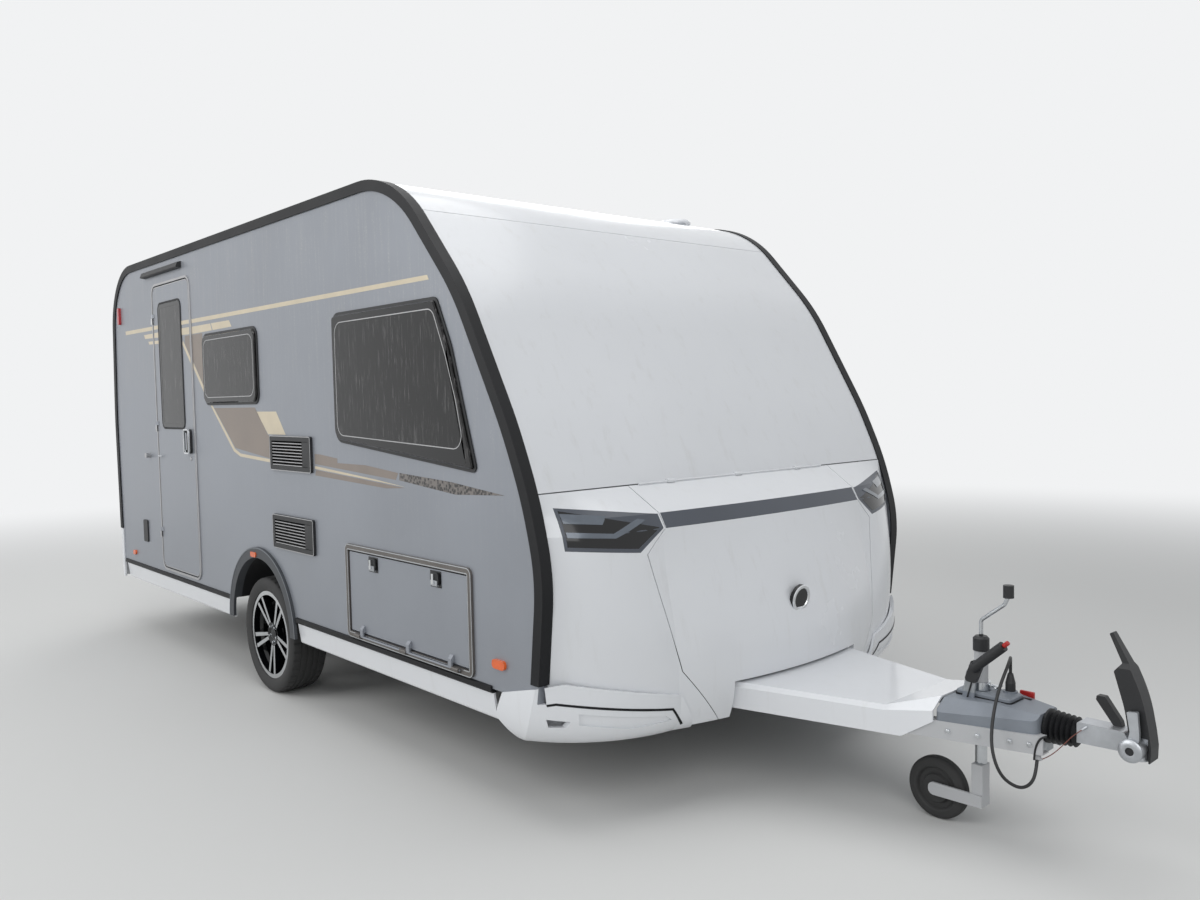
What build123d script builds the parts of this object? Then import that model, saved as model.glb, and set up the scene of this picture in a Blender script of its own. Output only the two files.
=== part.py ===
from build123d import *
import math
import os

# A single-axle travel caravan, in millimetres.
# Here x runs forward from the axle, y to the left and z up from the ground.
# Every solid is moved back by CENTRE_X when it is written, to the middle of the length.
REAR_X = -2512
LAMP_PROUD = 18
REAR_REACH = LAMP_PROUD - REAR_X
FRONT_REACH = 4112
CENTRE_X = (FRONT_REACH - REAR_REACH) / 2

# body shell
WALL_Y = 1144
WALL = 32
BASE_Z = 475
ROOF_Z = 2556
FRONT_X = 2504
INNER_Y = WALL_Y - WALL
SKIN_INSET = 6
WALL_INSET = 10
RAIL_PROUD = 8
RAIL_LEG = 48
RAIL_FRONT_LEG = 50
OPEN_BASE = 60
FLOOR = 40
FLOOR_TOP = BASE_Z + FLOOR
FLOOR_FRONT_X = FRONT_X - 194
BUMPER_TOP_Z = 541
REAR_BUMPER_LOW_Z = 352
REAR_BUMPER_TOP_Z = 700
# pad for the number plate: y from, y to, z from, z to, and how far it stands out
PLATE_PAD = (-265, 265, 430, 556)
PLATE_PROUD = 6
SEAM = 3
ROOF_JOINT_X = 1460
SEAM_TOP_X = 1691
SEAM_TOP_Z = ROOF_Z - 178
SEAM_LOW_Z = 1234
REAR_SEAM_Z = 2140

# Corners of the side outline: x, z, radius of the bend there.
BODY_CORNERS = [
    (REAR_X + 17, BASE_Z, 0),
    (REAR_X, 1500, 3000),
    (REAR_X + 77, ROOF_Z, 440),
    (1531, ROOF_Z, 650),
    (2008, 2030, 1200),
    (2310, 1498, 2000),
    (2430, 1228, 1500),
    (FRONT_X, 937, 700),
    (FRONT_X - 53, BASE_Z, 0),
]

# running gear
TYRE_R = 318
TYRE_WIDTH = 205
RIM_R = 240
RIM_FLANGE = 14
RIM_WIDTH = 176
HUB_DEPTH = 32
WHEEL_FACE_Y = 1122
WHEEL_Y = WHEEL_FACE_Y - TYRE_WIDTH / 2
ARCH_R = 433
ARCH_RISE = 55
ARCH_Z = TYRE_R + ARCH_RISE
ARCH_TRIM = 58
ARCH_PROUD = 15
ARCH_CUT = ARCH_R - 30
WHEEL_BOX = 8
WHEEL_BOX_Y = 845
AXLE_TUBE_X = 165
AXLE_TUBE_Z = 288
AXLE_TUBE_R = 52
RAIL_Y = 636
RAIL_SECTION = 5
RAIL_FLANGE = 52
RAIL_LOW_Z = 345
RAIL_END_X = 1900
RAIL_START_X = REAR_X + 72
BEAM_LOW_Z = 365
BEAM_HIGH_Z = 428
BEAM_WIDTH = 46
BEAM_TIP_X = 3800
BEAM_TIP_Y = 67
BEAM_SLOPE = 0.268
BEAM_PLATE = 5

# openings in the side walls: x from, x to, z from, z to
DOOR = (-1580, -905, 520, ROOF_Z - 191)
DOOR_ROUND = 60
DOOR_PANE = (-1465, -1065, 1450, ROOF_Z - 316)
DOOR_HANDLE = (-1010, -950, 1290, 1440)
DOOR_GAP = 7
DOOR_PROUD = 5
FLAP = (1007, 2046, 490, 928)
FLAP_FRAME = 28
FLAP_GAP = 7
VENTS = [(212, 688, 1240, 1420), (212, 688, 830, 1008)]
SMALL_WINDOW = (-710, 80, 1585, 2005)
LEFT_WINDOW = (-900, 80, 1400, 2005)
TOILET_FLAP = (REAR_X + 232, REAR_X + 632, 700, 1080)
# on the roof: middle x and y, half width or radius
ROOFLIGHT = (-700, 0, 210)
# hinges: pins in their lugs with a running gap
PIN_GAP = 0.3
DOOR_PIN_R = 3
DOOR_PIVOT = (DOOR[0] - 2.5, WALL_Y + 12)
DOOR_HINGES = (740, 1440, ROOF_Z - 416)
DOOR_LUG = 40
FLAP_PIN_R = 4
FLAP_PIVOT_Y = WALL_Y + 16
FLAP_PIVOT_RISE = 19
FLAP_LUG = 50
FLAP_LUG_SHARES = (0.11, 0.5, 0.89)
NOSE_PIN_R = 4.5
VENT_COWL = (1180, 930, 90)
WINDOW_EDGE = 30
WINDOW_FRAME = 6
WINDOW_PROUD = 11

# nose moulding and gas-locker door
NOSE = 22
NOSE_Y = 1100
NOSE_LOW_Z = 316
LAMP_TOP_Z = 1137
LAMP_LOW_Z = 1080
DOOR_CLEAR = 4
NOSE_BACK_X = 2290
NOSE_PIVOT = (2425, 1236.5)
NOSE_LUGS = (-420, 0, 420)
NOSE_LUG = 40
LOCKER_BACK_X = 2035
LOCKER_FLOOR_Z = 434
LOCKER_TOP_Z = 1180

# drawbar cover, overrun device and coupling
COVER_BACK_X = 2690
COVER_FRONT_X = 3458
COVER_TOP_Z = 455
COVER_LOW_Z = 353
COVER_CUT_X = 3350
COVER_WALL = 6
COVER_SIDE = 6.5
HOUSING_X = 3462
HOUSING_TIP_X = 3778
HOUSING_TIP_Y = 84
KEEL_LOW_Z = 355
LID_TOP_Z = 517
LID_Y = 52
SHAFT_Z = 442
BELLOWS_R = 58
BELLOWS_TIP_X = 3886
NECK_TOP_Z = 488
BALL_X = 4060
BALL_Z = 420
BALL_R = 25
CUP_R = 43
CUP_DEPTH = 15
PAD_X = 4063
PAD_Z = 442
PAD_R = 37
PAD_Y = 66

# jockey wheel
JOCKEY_X = 3540
JOCKEY_TUBE_R = 24
JOCKEY_LEG_R = 20.5
JOCKEY_WHEEL_R = 115
JOCKEY_WHEEL_W = 54
JOCKEY_TRAIL = 165
FORK_PLATE = 8
FORK_GAP = 5
FORK_TOP_Z = 249.5
JOCKEY_TUBE_LOW = 352
JOCKEY_TUBE_TOP = 657

# fittings of the overrun housing and the coupling, furniture
BRACKET_Y = -58
BRACKET = 8
PLUG_X = 3630
PLUG_Y = 35
PLUG_SEAT_Z = 522
HANDLE_FOOT_Z = 480
SEAT_HEIGHT = 400
BED_HEIGHT = 420
BED_TOP = 38
WORKTOP = 28
BOARD = 15

# corner steadies: pivot x, foot direction
STEADIES = {"rear": (-1860, -1), "front": (1560, 1)}
STEADY_Y = 860
STEADY_PIVOT_Z = 428
STEADY_LEG = 420
STEADY_WIDTH = 50

PLANES = {"x": Plane.YZ, "y": Plane.XZ, "z": Plane.XY}
PUSH = {"x": (1, 0, 0), "y": (0, -1, 0), "z": (0, 0, 1)}


def prism(face, axis, low, high):
    """Push an outline, drawn in the two other directions, from low to high along the axis."""
    start = {"x": (low, 0, 0), "y": (0, high, 0), "z": (0, 0, low)}[axis]
    placed = Pos(*start) * (PLANES[axis] * face)
    return extrude(placed, amount=high - low, dir=PUSH[axis])


def outline(corners):
    """Closed face through corners of first, second coordinate and bend radius."""
    count = len(corners)
    stops = []
    for i, (x, y, radius) in enumerate(corners):
        here = Vector(x, y)
        before = (here - Vector(*corners[i - 1][:2])).normalized()
        after = (Vector(*corners[(i + 1) % count][:2]) - here).normalized()
        half_turn = math.radians(before.get_angle(after)) / 2
        if radius == 0 or half_turn < 1e-4:
            stops.append((here, None, here))
            continue
        reach = radius * math.tan(half_turn)
        middle = here + (after - before).normalized() * (radius / math.cos(half_turn) - radius)
        stops.append((here - before * reach, middle, here + after * reach))
    edges = []
    for i, (start, middle, end) in enumerate(stops):
        if middle is not None:
            edges.append(ThreePointArc(start, middle, end))
        following = stops[(i + 1) % count][0]
        if (following - end).length > 1e-6:
            edges.append(Line(end, following))
    return upward(make_face(edges))


def upward(face):
    """The face with its normal up, whichever way round its corners were given."""
    return face if face.faces()[0].normal_at().Z > 0 else -face.faces()[0]


def polygon(*points):
    """Closed face through sharp corners."""
    return upward(make_face(Polyline(*points, close=True)))


def inset_corners(corners, inset, last=None):
    """Move every side of a convex outline inwards, the last by its own distance if given."""
    count = len(corners)
    centre = [sum(corner[k] for corner in corners) / count for k in (0, 1)]
    sides = []
    for i, (x, z, _) in enumerate(corners):
        x_next, z_next, _ = corners[(i + 1) % count]
        length = math.hypot(x_next - x, z_next - z)
        normal = ((z_next - z) / length, (x - x_next) / length)
        if (centre[0] - x) * normal[0] + (centre[1] - z) * normal[1] < 0:
            normal = (-normal[0], -normal[1])
        step = last if last is not None and i == count - 1 else inset
        sides.append((normal, normal[0] * x + normal[1] * z + step))
    moved = []
    for i, (_, _, radius) in enumerate(corners):
        (a, b), c = sides[i - 1]
        (d, e), f = sides[i]
        det = a * e - b * d
        moved.append(((c * e - b * f) / det, (a * f - c * d) / det, max(radius - inset, 0)))
    return moved


def body_face(inset, base=0):
    """Side outline of the body, moved inwards all round but at its base."""
    return outline(inset_corners(BODY_CORNERS, inset, base))


def rounded(box, radius, inset=0.0):
    """Rounded rectangle from first low, first high, second low, second high."""
    a, b, c, d = box
    width = b - a - 2 * inset
    height = d - c - 2 * inset
    return Pos((a + b) / 2, (c + d) / 2) * RectangleRounded(width, height, max(radius - inset, 1))


def block(x0, x1, y0, y1, z0, z1):
    """Plain box between its limits."""
    return Pos((x0 + x1) / 2, (y0 + y1) / 2, (z0 + z1) / 2) * Box(x1 - x0, y1 - y0, z1 - z0)


def rod(start, end, radius):
    """Round bar between two points."""
    axis = Vector(*end) - Vector(*start)
    base = Plane(origin=start, z_dir=axis)
    return extrude(base * Circle(radius), amount=axis.length)


def bar(points, radius):
    """Round bar bent along points given as x, y, z and bend radius at the inner ones."""
    places = [point[:3] for point in points]
    bends = [point[3] for point in points[1:-1]]
    path = FilletPolyline(*places, radius=bends) if bends else Line(*places)
    return sweep((path ^ 0) * Circle(radius), path=path)


def mirrored(shape):
    """The same piece on the other side of the vehicle."""
    return mirror(shape, about=Plane.XZ)


def sided(shape, side):
    """The piece as drawn on the left, or its mirror image on the right."""
    return shape if side == "left" else mirrored(shape)


def big_window_outline(inset):
    """Front side window, which follows the sloping front."""
    corners = [
        (948, 1403, 70),
        (948, 2000, 60),
        (1852, 2000, 40),
        (1951, 1800, 300),
        (2109, 1300, 25),
    ]
    return outline(inset_corners(corners, inset))


def arch_disc(radius):
    return Pos(0, ARCH_Z) * Circle(radius)


def side_wall(side):
    """Sandwich side wall with its door, window, vent, locker and wheel openings."""
    wall = prism(body_face(WALL_INSET), "y", INNER_Y, WALL_Y)
    holes = big_window_outline(WINDOW_EDGE) + arch_disc(ARCH_CUT)
    if side == "right":
        holes += rounded(DOOR, DOOR_ROUND) + rounded(FLAP, 30, FLAP_FRAME)
        holes += rounded(SMALL_WINDOW, 60, WINDOW_EDGE)
        for vent in VENTS:
            holes += rounded(vent, 12, 20)
    else:
        holes += rounded(LEFT_WINDOW, 60, WINDOW_EDGE)
        holes += rounded(TOILET_FLAP, 30, FLAP_FRAME)
    return sided(wall - prism(holes, "y", INNER_Y - 5, WALL_Y + 5), side)


def skin_ring():
    """Roof, front and rear sandwich between the side walls, before it is divided."""
    face = body_face(SKIN_INSET) - body_face(SKIN_INSET + WALL, -OPEN_BASE)
    return prism(face, "y", -INNER_Y, INNER_Y)


def seam_line(shift):
    """Two ends of the cut between roof and front panel, square to the slope there."""
    slope = math.radians(47.8)
    across = (math.sin(slope), math.cos(slope))
    along = (math.cos(slope), -math.sin(slope))
    x = SEAM_TOP_X + along[0] * shift
    z = SEAM_TOP_Z + along[1] * shift
    inner = (x - across[0] * 200, z - across[1] * 200)
    outer = (x + across[0] * 200, z + across[1] * 200)
    return inner, outer


def body_panels():
    """Roof, its bent front end, front and rear panels, cut from the ring at the seams."""
    ring = skin_ring()
    inner, outer = seam_line(0)
    roof_zone = polygon(
        (-3000, REAR_SEAM_Z), (inner[0], REAR_SEAM_Z), inner, outer, (outer[0], 3000), (-3000, 3000)
    )
    inner, outer = seam_line(SEAM)
    front_zone = polygon(
        inner, outer, (3000, outer[1]), (3000, SEAM_LOW_Z + SEAM), (inner[0], SEAM_LOW_Z + SEAM)
    )
    rear_x = REAR_X + 212
    rear_zone = polygon(
        (-3000, BASE_Z), (rear_x, BASE_Z), (rear_x, REAR_SEAM_Z - SEAM), (-3000, REAR_SEAM_Z - SEAM)
    )
    zones = {"roof_panel": roof_zone, "front_panel": front_zone, "rear_panel": rear_zone}
    panels = {name: ring & prism(zone, "y", -WALL_Y, WALL_Y) for name, zone in zones.items()}
    x, y, half = ROOFLIGHT
    hole = rounded((x - half, x + half, y - half, y + half), 40, 30)
    panels["roof_panel"] -= prism(hole, "z", ROOF_Z - 60, ROOF_Z + 20)
    joint = block(ROOF_JOINT_X, 3000, -1300, 1300, 1500, 3000)
    panels["roof_bend"] = panels["roof_panel"] & joint
    panels["roof_panel"] -= joint
    pivot = Pos(*NOSE_PIVOT)
    for y in NOSE_LUGS:
        low, high = y - NOSE_LUG / 2, y + NOSE_LUG / 2
        lug = prism(pivot * Circle(NOSE_PIN_R + 4), "y", low, high)
        lug += block(2400, NOSE_PIVOT[0] - 2, low, high, SEAM_LOW_Z + SEAM, SEAM_LOW_Z + SEAM + 7)
        panels["front_panel"] += lug
    panels["front_panel"] -= prism(pivot * Circle(NOSE_PIN_R + PIN_GAP), "y", -500, 500)
    return panels


def edge_rail():
    """Black rail round the left edge of the body: a leg on the side and one over the skins."""
    side_face = body_face(0) - body_face(RAIL_LEG, -OPEN_BASE)
    top_face = body_face(0) - body_face(SKIN_INSET, -OPEN_BASE)
    edge_y = WALL_Y + RAIL_PROUD
    rail = prism(side_face, "y", WALL_Y, edge_y)
    rail += prism(top_face, "y", edge_y - RAIL_FRONT_LEG, edge_y)
    rail -= block(-3000, 3000, 1000, 1300, BASE_Z - OPEN_BASE, BUMPER_TOP_Z + 2)
    rear = (REAR_X - 500, REAR_X + 212, 1000, 1300)
    return rail - block(*rear, BASE_Z - OPEN_BASE, REAR_BUMPER_TOP_Z + 3)


def floor_panel():
    """Floor sandwich, open over each wheel."""
    floor = block(REAR_X + 57, FLOOR_FRONT_X, -INNER_Y, INNER_Y, BASE_Z, FLOOR_TOP)
    gap = block(-ARCH_CUT, ARCH_CUT, WHEEL_BOX_Y - WHEEL_BOX, 1200, BASE_Z - 5, FLOOR_TOP + 5)
    return floor - gap - mirrored(gap)


def wheel_box():
    """Half-round housing inside the left wall over the wheel."""
    outer = prism(arch_disc(ARCH_CUT), "y", WHEEL_BOX_Y - WHEEL_BOX, INNER_Y)
    inner = prism(arch_disc(ARCH_CUT - WHEEL_BOX), "y", WHEEL_BOX_Y, INNER_Y + 10)
    box = (outer - inner) & block(-600, 600, 700, 1200, BASE_Z, 1000)
    for sign in (1, -1):
        low = min(sign * (ARCH_CUT - 35), sign * ARCH_CUT)
        high = max(sign * (ARCH_CUT - 35), sign * ARCH_CUT)
        filler = block(low, high, WHEEL_BOX_Y - WHEEL_BOX, INNER_Y, BASE_Z, FLOOR_TOP)
        box += filler - prism(arch_disc(ARCH_CUT - WHEEL_BOX), "y", WHEEL_BOX_Y, INNER_Y + 10)
    return box


def wheel_box_room(clear):
    """Square room round both wheel boxes, which the furniture leaves."""
    reach = ARCH_CUT + clear
    near = WHEEL_BOX_Y - WHEEL_BOX - clear
    room = block(-reach, reach, near, 1200, FLOOR_TOP - 20, ARCH_Z + reach)
    return room + mirrored(room)


def wheel_arch():
    """Moulded trim round the left wheel opening, with its legs down beside the skirt."""
    ring = arch_disc(ARCH_R) - arch_disc(ARCH_R - ARCH_TRIM)
    trim = prism(ring, "y", WALL_Y, WALL_Y + ARCH_PROUD)
    lip = arch_disc(ARCH_CUT) - arch_disc(ARCH_R - ARCH_TRIM)
    trim += prism(lip, "y", INNER_Y + 2, WALL_Y)
    trim &= block(-600, 600, 1000, 1200, ARCH_Z - 1, 1000)
    return trim - block(-600, 600, INNER_Y - 5, WALL_Y, 300, BASE_Z + 5)


def skirt(x0, x1):
    """Left skirt with the sill rail above it."""
    rail = polygon(
        (INNER_Y + 4, BASE_Z - 0.5), (INNER_Y + 4, BASE_Z - 16), (WALL_Y + 2, BASE_Z - 18),
        (WALL_Y + 9, BASE_Z - 12), (WALL_Y + 9, BASE_Z + 8), (WALL_Y + 0.5, BASE_Z + 12),
        (WALL_Y + 0.5, BASE_Z - 0.5)
    )
    apron = polygon(
        (WALL_Y - 4, BASE_Z - 16), (WALL_Y - 12, BASE_Z - 16), (WALL_Y - 30, 360),
        (WALL_Y - 22, 352), (WALL_Y - 18, 360)
    )
    return prism(rail + apron, "x", x0, x1)


def window_frame(big, rectangle, side):
    """Black frame plate of one window, hollow where the pane shows."""
    insets = (0, WINDOW_EDGE + 1, WINDOW_EDGE + 25)
    if big:
        outer, middle, inner = [big_window_outline(inset) for inset in insets]
    else:
        outer, middle, inner = [rounded(rectangle, 60, inset) for inset in insets]
    frame = prism(outer - inner, "y", WALL_Y, WALL_Y + WINDOW_FRAME)
    frame += prism(middle - inner, "y", INNER_Y, WALL_Y)
    return sided(frame, side)


def window_pane(big, rectangle, side):
    """Tinted acrylic pane, bulging a little from its frame."""
    face = big_window_outline(14) if big else rounded(rectangle, 60, 14)
    pane = prism(face, "y", WALL_Y + WINDOW_FRAME, WALL_Y + WINDOW_FRAME + WINDOW_PROUD)
    outer = pane.faces().sort_by(Axis.Y)[-1]
    return sided(chamfer(outer.edges(), 5), side)


def fridge_vent(limits):
    """Louvred vent: frame and slanted slats, on the right wall."""
    x0, x1, z0, z1 = limits
    plate = rounded(limits, 12) - rounded(limits, 12, 26)
    vent = prism(plate, "y", WALL_Y, WALL_Y + 14)
    vent += prism(rounded(limits, 12, 21) - rounded(limits, 12, 26), "y", INNER_Y, WALL_Y)
    count = 8
    pitch = (z1 - z0 - 52) / count
    for i in range(count):
        z = z0 + 26 + pitch * (i + 0.5)
        slat = polygon(
            (WALL_Y + 11, z - 6), (WALL_Y + 11, z - 2), (WALL_Y - 10, z + 7), (WALL_Y - 10, z + 3)
        )
        vent += prism(slat, "x", x0 + 24, x1 - 24)
    return mirrored(vent)


# Plan sections of the nose at heights z:
# side x at the wall, middle of the corner bend x, y, shoulder x, centre x.
NOSE_SHOULDER_Y = 650
NOSE_SECTIONS = [
    (NOSE_LOW_Z, 2330, 2565, 885, 2640, 2745),
    (560, 2452, 2590, 925, 2676, 2776),
    (820, 2478, 2584, 925, 2636, 2718),
    (LAMP_LOW_Z, 2458, 2546, 925, 2606, 2636),
]
NOSE_TOP = [
    (LAMP_LOW_Z, 2458, 2546, 925, 2606, 2636),
    (LAMP_TOP_Z, 2440, 2520, 925, 2574, 2600),
    (SEAM_LOW_Z, 2419, 2421, 925, 2422, 2424),
]


def nose_section(row, inset, z):
    return plan_section(row[1:], NOSE_Y, NOSE_BACK_X - inset, inset, z)


def plan_section(row, half, back, inset, z):
    """Plan of the rounded front at one height, moved inwards."""
    side_x, bend_x, bend_y, shoulder_x, centre_x = row
    y = half - inset
    back = back - inset
    line = Line((back, y), (side_x - inset, y))
    line += ThreePointArc(
        (side_x - inset, y), (bend_x - inset, bend_y - inset), (shoulder_x - inset, NOSE_SHOULDER_Y)
    )
    line += ThreePointArc(
        (shoulder_x - inset, NOSE_SHOULDER_Y),
        (centre_x - inset, 0),
        (shoulder_x - inset, -NOSE_SHOULDER_Y),
    )
    line += ThreePointArc(
        (shoulder_x - inset, -NOSE_SHOULDER_Y),
        (bend_x - inset, inset - bend_y),
        (side_x - inset, -y),
    )
    line += Polyline((side_x - inset, -y), (back, -y), (back, y))
    return Pos(0, 0, z) * make_face(line)


def nose_solid(inset):
    """Filled nose form, moved inwards."""
    low = loft([nose_section(row, inset, row[0]) for row in NOSE_SECTIONS])
    middle = loft([nose_section(row, inset, row[0]) for row in NOSE_TOP[:2]], ruled=True)
    top = loft([nose_section(row, inset, row[0]) for row in NOSE_TOP[1:]], ruled=True)
    return low + middle + top


# Half outline of the gas-locker door, seen from the front: y, z.
GAS_DOOR_HALF = [
    (656, SEAM_LOW_Z + 20),
    (656, SEAM_LOW_Z),
    (640, LAMP_TOP_Z),
    (637, LAMP_LOW_Z),
    (734, 990),
    (635, 540),
    (452, NOSE_LOW_Z),
    (440, NOSE_LOW_Z - 30),
]
TUNNEL_Y = 399
TUNNEL_Z = COVER_TOP_Z + 8

# Left lamp outline, seen from the front: y, z.
LAMP_OUTLINE = [
    (648, LAMP_TOP_Z - 3),
    (646, LAMP_LOW_Z + 2),
    (765, 1000),
    (1046, 1028),
    (1054, 1183),
]


def gas_door_zone(grow):
    """Front outline of the gas-locker door, grown or shrunk on each side."""
    right = [(y + grow, z) for y, z in GAS_DOOR_HALF]
    left = [(-y - grow, z) for y, z in reversed(GAS_DOOR_HALF)]
    zone = prism(polygon(*right, *left), "x", NOSE_BACK_X, 3200)
    reach = TUNNEL_Y - grow
    return zone - block(2000, 3300, -reach, reach, 200, TUNNEL_Z - grow)


def nose_parts():
    """Fixed nose moulding, gas-locker door, its dark strip and the two lamps."""
    outer = nose_solid(0)
    shell = outer - nose_solid(NOSE)
    above = block(2000, 3300, -1200, 1200, SEAM_LOW_Z - 1, SEAM_LOW_Z + 40)
    below = block(2000, 3300, -1200, 1200, NOSE_LOW_Z - 40, NOSE_LOW_Z + 1)
    behind = block(2000, NOSE_BACK_X + 30, -1200, 1200, NOSE_LOW_Z - 40, SEAM_LOW_Z + 40)
    shell = shell - above - below - behind
    half = DOOR_CLEAR / 2
    tunnel = block(2000, 3300, -TUNNEL_Y, TUNNEL_Y, 200, TUNNEL_Z)
    door = shell & gas_door_zone(-half)
    door = door - gas_door_bevel() - mirrored(gas_door_bevel())
    door = door + prism(Pos(*NOSE_PIVOT) * Circle(NOSE_PIN_R), "y", -600, 600)
    for y in NOSE_LUGS:
        reach = NOSE_LUG / 2 + 3
        notch = Circle(NOSE_PIN_R + 6) - Circle(NOSE_PIN_R)
        door = door - prism(Pos(*NOSE_PIVOT) * notch, "y", y - reach, y + reach)
    fixed = shell - gas_door_zone(half) - tunnel
    strip_zone = block(2500, 3200, -634, 634, LAMP_LOW_Z, LAMP_TOP_Z)
    face = outer - nose_solid(3)
    strip = face & strip_zone
    door = door - strip
    lamp_layer = outer - nose_solid(16)
    lamps = []
    for sign in (1, -1):
        zone = prism(polygon(*[(sign * y, z) for y, z in LAMP_OUTLINE]), "x", 2350, 3000)
        lamp = lamp_layer & zone
        lamps.append(lamp)
        fixed = fixed - lamp
    return fixed, door, strip, lamps


def gas_door_bevel():
    """Wedge behind the left upper shoulder of the door, along which the door swings out."""
    swing = Vector(251, 0, 144).normalized()
    depth = 300
    drop = depth * swing.Z / swing.X
    corners = [(637, LAMP_LOW_Z), (734, 990), (770, 1000), (770, 1095), (637, 1095)]
    face = polygon(*[(y, z - drop) for y, z in corners])
    placed = Pos(2592 - depth, 0, 0) * (Plane.YZ * face)
    return extrude(placed, amount=500, dir=tuple(swing))


def gas_lock():
    """Round lock boss in the middle of the gas-locker door."""
    ring = Cylinder(57, 14) - Pos(0, 0, 6) * Cylinder(44, 8)
    cap = Pos(0, 0, 4) * Cylinder(42, 10)
    return Pos(2749, 0, 735) * Rot(0, 90 + 9, 0) * (ring + cap)


def locker_box():
    """Bulkhead, top shelf and floor tray of the gas locker."""
    box = block(LOCKER_BACK_X - 25, LOCKER_BACK_X, -INNER_Y, INNER_Y, FLOOR_TOP, LOCKER_TOP_Z + 15)
    inside = NOSE_Y - NOSE - 0.3
    box += block(LOCKER_BACK_X, 2385, -inside, inside, LOCKER_TOP_Z, LOCKER_TOP_Z + 15)
    box += block(LOCKER_BACK_X, FLOOR_FRONT_X + 6, -inside, inside, FLOOR_TOP, FLOOR_TOP + 6)
    tray = polygon(
        (FLOOR_FRONT_X + 1, -inside), (2350, -inside), (2540, -880), (2622, -560), (2622, 560),
        (2540, 880), (2350, inside), (FLOOR_FRONT_X + 1, inside)
    )
    box += prism(tray, "z", LOCKER_FLOOR_Z, LOCKER_FLOOR_Z + 12)
    step_x = FLOOR_FRONT_X + 1
    return box + block(step_x, step_x + 12, -inside, inside, LOCKER_FLOOR_Z, FLOOR_TOP + 6)


# Plan sections of the front bumpers at heights z:
# half width, side x, middle of the corner bend x, y, shoulder x, centre x.
BUMPER_SECTIONS = [
    (306, 1116, 2320, 2560, 884, 2632, 2736),
    (340, 1140, 2360, 2594, 902, 2664, 2768),
    (430, 1156, 2410, 2614, 925, 2686, 2790),
    (570, 1152, 2450, 2606, 932, 2690, 2792),
]
BUMPER = 14
# Outlines on the left bumper, seen from the front: y, z.
BUMPER_FRONT = [(1200, 541), (1152, 541), (1098, 552), (650, 455), (589, 342), (560, 280), (1200, 280)]
BUMPER_GROOVE = [(1200, 462), (1152, 462), (1098, 475), (691, 408), (630, 330), (610, 290)]
BUMPER_RECESS = [(1035, 436), (720, 386), (690, 366), (860, 362), (1030, 394)]
BUMPER_HOLE = [(1118, 416), (1054, 407), (1062, 384), (1108, 384)]
# Outline of its wrap on the side wall: x, z.
BUMPER_SIDE = [
    (2292, 300), (2186, 379), (2236, 479), (2386, 518), (2560, 560), (2900, 600), (2900, 280),
    (2400, 280)
]


def bumper_form(inset):
    """Filled form that both front bumpers are cut from, moved inwards."""
    sections = [plan_section(row[2:], row[1], 2100, inset, row[0]) for row in BUMPER_SECTIONS]
    return loft(sections)


def front_bumper(nose):
    """Left corner moulding under the nose with its groove, long recess and small hole."""
    form = bumper_form(0)
    shell = form - bumper_form(BUMPER) - nose
    shell -= block(2000, 2464, 900, WALL_Y + 0.5, BASE_Z - 1, 700)
    shell &= prism(polygon(*BUMPER_FRONT), "x", 2100, 3000)
    shell &= prism(polygon(*BUMPER_SIDE), "y", 400, 1300)
    low_line = [(y - 3, z - 5) for y, z in reversed(BUMPER_GROOVE)]
    layer = form - bumper_form(5)
    shell -= layer & prism(polygon(*BUMPER_GROOVE, *low_line), "x", 2100, 3000)
    shell -= layer & prism(polygon(*BUMPER_RECESS), "x", 2100, 3000)
    return shell - prism(polygon(*BUMPER_HOLE), "x", 2380, 3000)


def rear_bumper():
    """Rear moulding between the side walls, with the pad of the number plate."""
    back = REAR_X - 8
    front = REAR_X + 72
    half = WALL_Y + 8
    face = outline([
        (front, -half, 0), (back, -half, 45), (back, half, 45), (front, half, 0),
        (front, half - 12, 0), (back + 12, half - 12, 34), (back + 12, 12 - half, 34),
        (front, 12 - half, 0)
    ])
    beam = prism(face, "z", REAR_BUMPER_LOW_Z, REAR_BUMPER_TOP_Z)
    beam += prism(rounded(PLATE_PAD, 8), "x", back - PLATE_PROUD, back + 2)
    body = prism(body_face(0), "y", -WALL_Y - 0.5, WALL_Y + 0.5)
    ledge = block(back + 5, REAR_X + 60, -WALL_Y, WALL_Y, BASE_Z - 14, BASE_Z)
    return beam - body + (ledge - body)


def tail_lamps():
    """Lamp clusters on the rear panel, one high brake lamp and the plate lamp."""
    lamps = []
    for sign in (1, -1):
        zone = rounded(tuple(sorted((sign * 860, sign * 1090))) + (560, 700), 30)
        lamps.append(prism(zone, "x", -REAR_REACH, REAR_X - 8))
    limits = (-150, 150, ROOF_Z - 496, ROOF_Z - 466)
    high = prism(rounded(limits, 12), "x", REAR_X + 28, REAR_X + 60)
    lamps.append(high - prism(body_face(SKIN_INSET), "y", -200, 200))
    return lamps


# Lamps on each side: x from, x to, z from, z to, height of their seat on the wall, thickness.
SIDE_LAMPS = [
    (2175, 2255, 562, 598, 0, 12),
    (REAR_X + 297, REAR_X + 349, 537, 569, 0, 12),
    (-88, -18, ARCH_Z + ARCH_R - 57, ARCH_Z + ARCH_R - 29, ARCH_PROUD, 6),
    (REAR_X + 200, REAR_X + 232, ROOF_Z - 388, ROOF_Z - 269, 0, 17),
]


def marker_lamps():
    """Orange side markers and red outline lamps, both sides."""
    lamps = []
    for x0, x1, z0, z1, seat, depth in SIDE_LAMPS:
        round_off = 0.45 * min(x1 - x0, z1 - z0)
        low = WALL_Y + seat
        lens = prism(rounded((x0, x1, z0, z1), round_off), "y", low, low + depth)
        lamps += [lens, mirrored(lens)]
    return lamps


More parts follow.
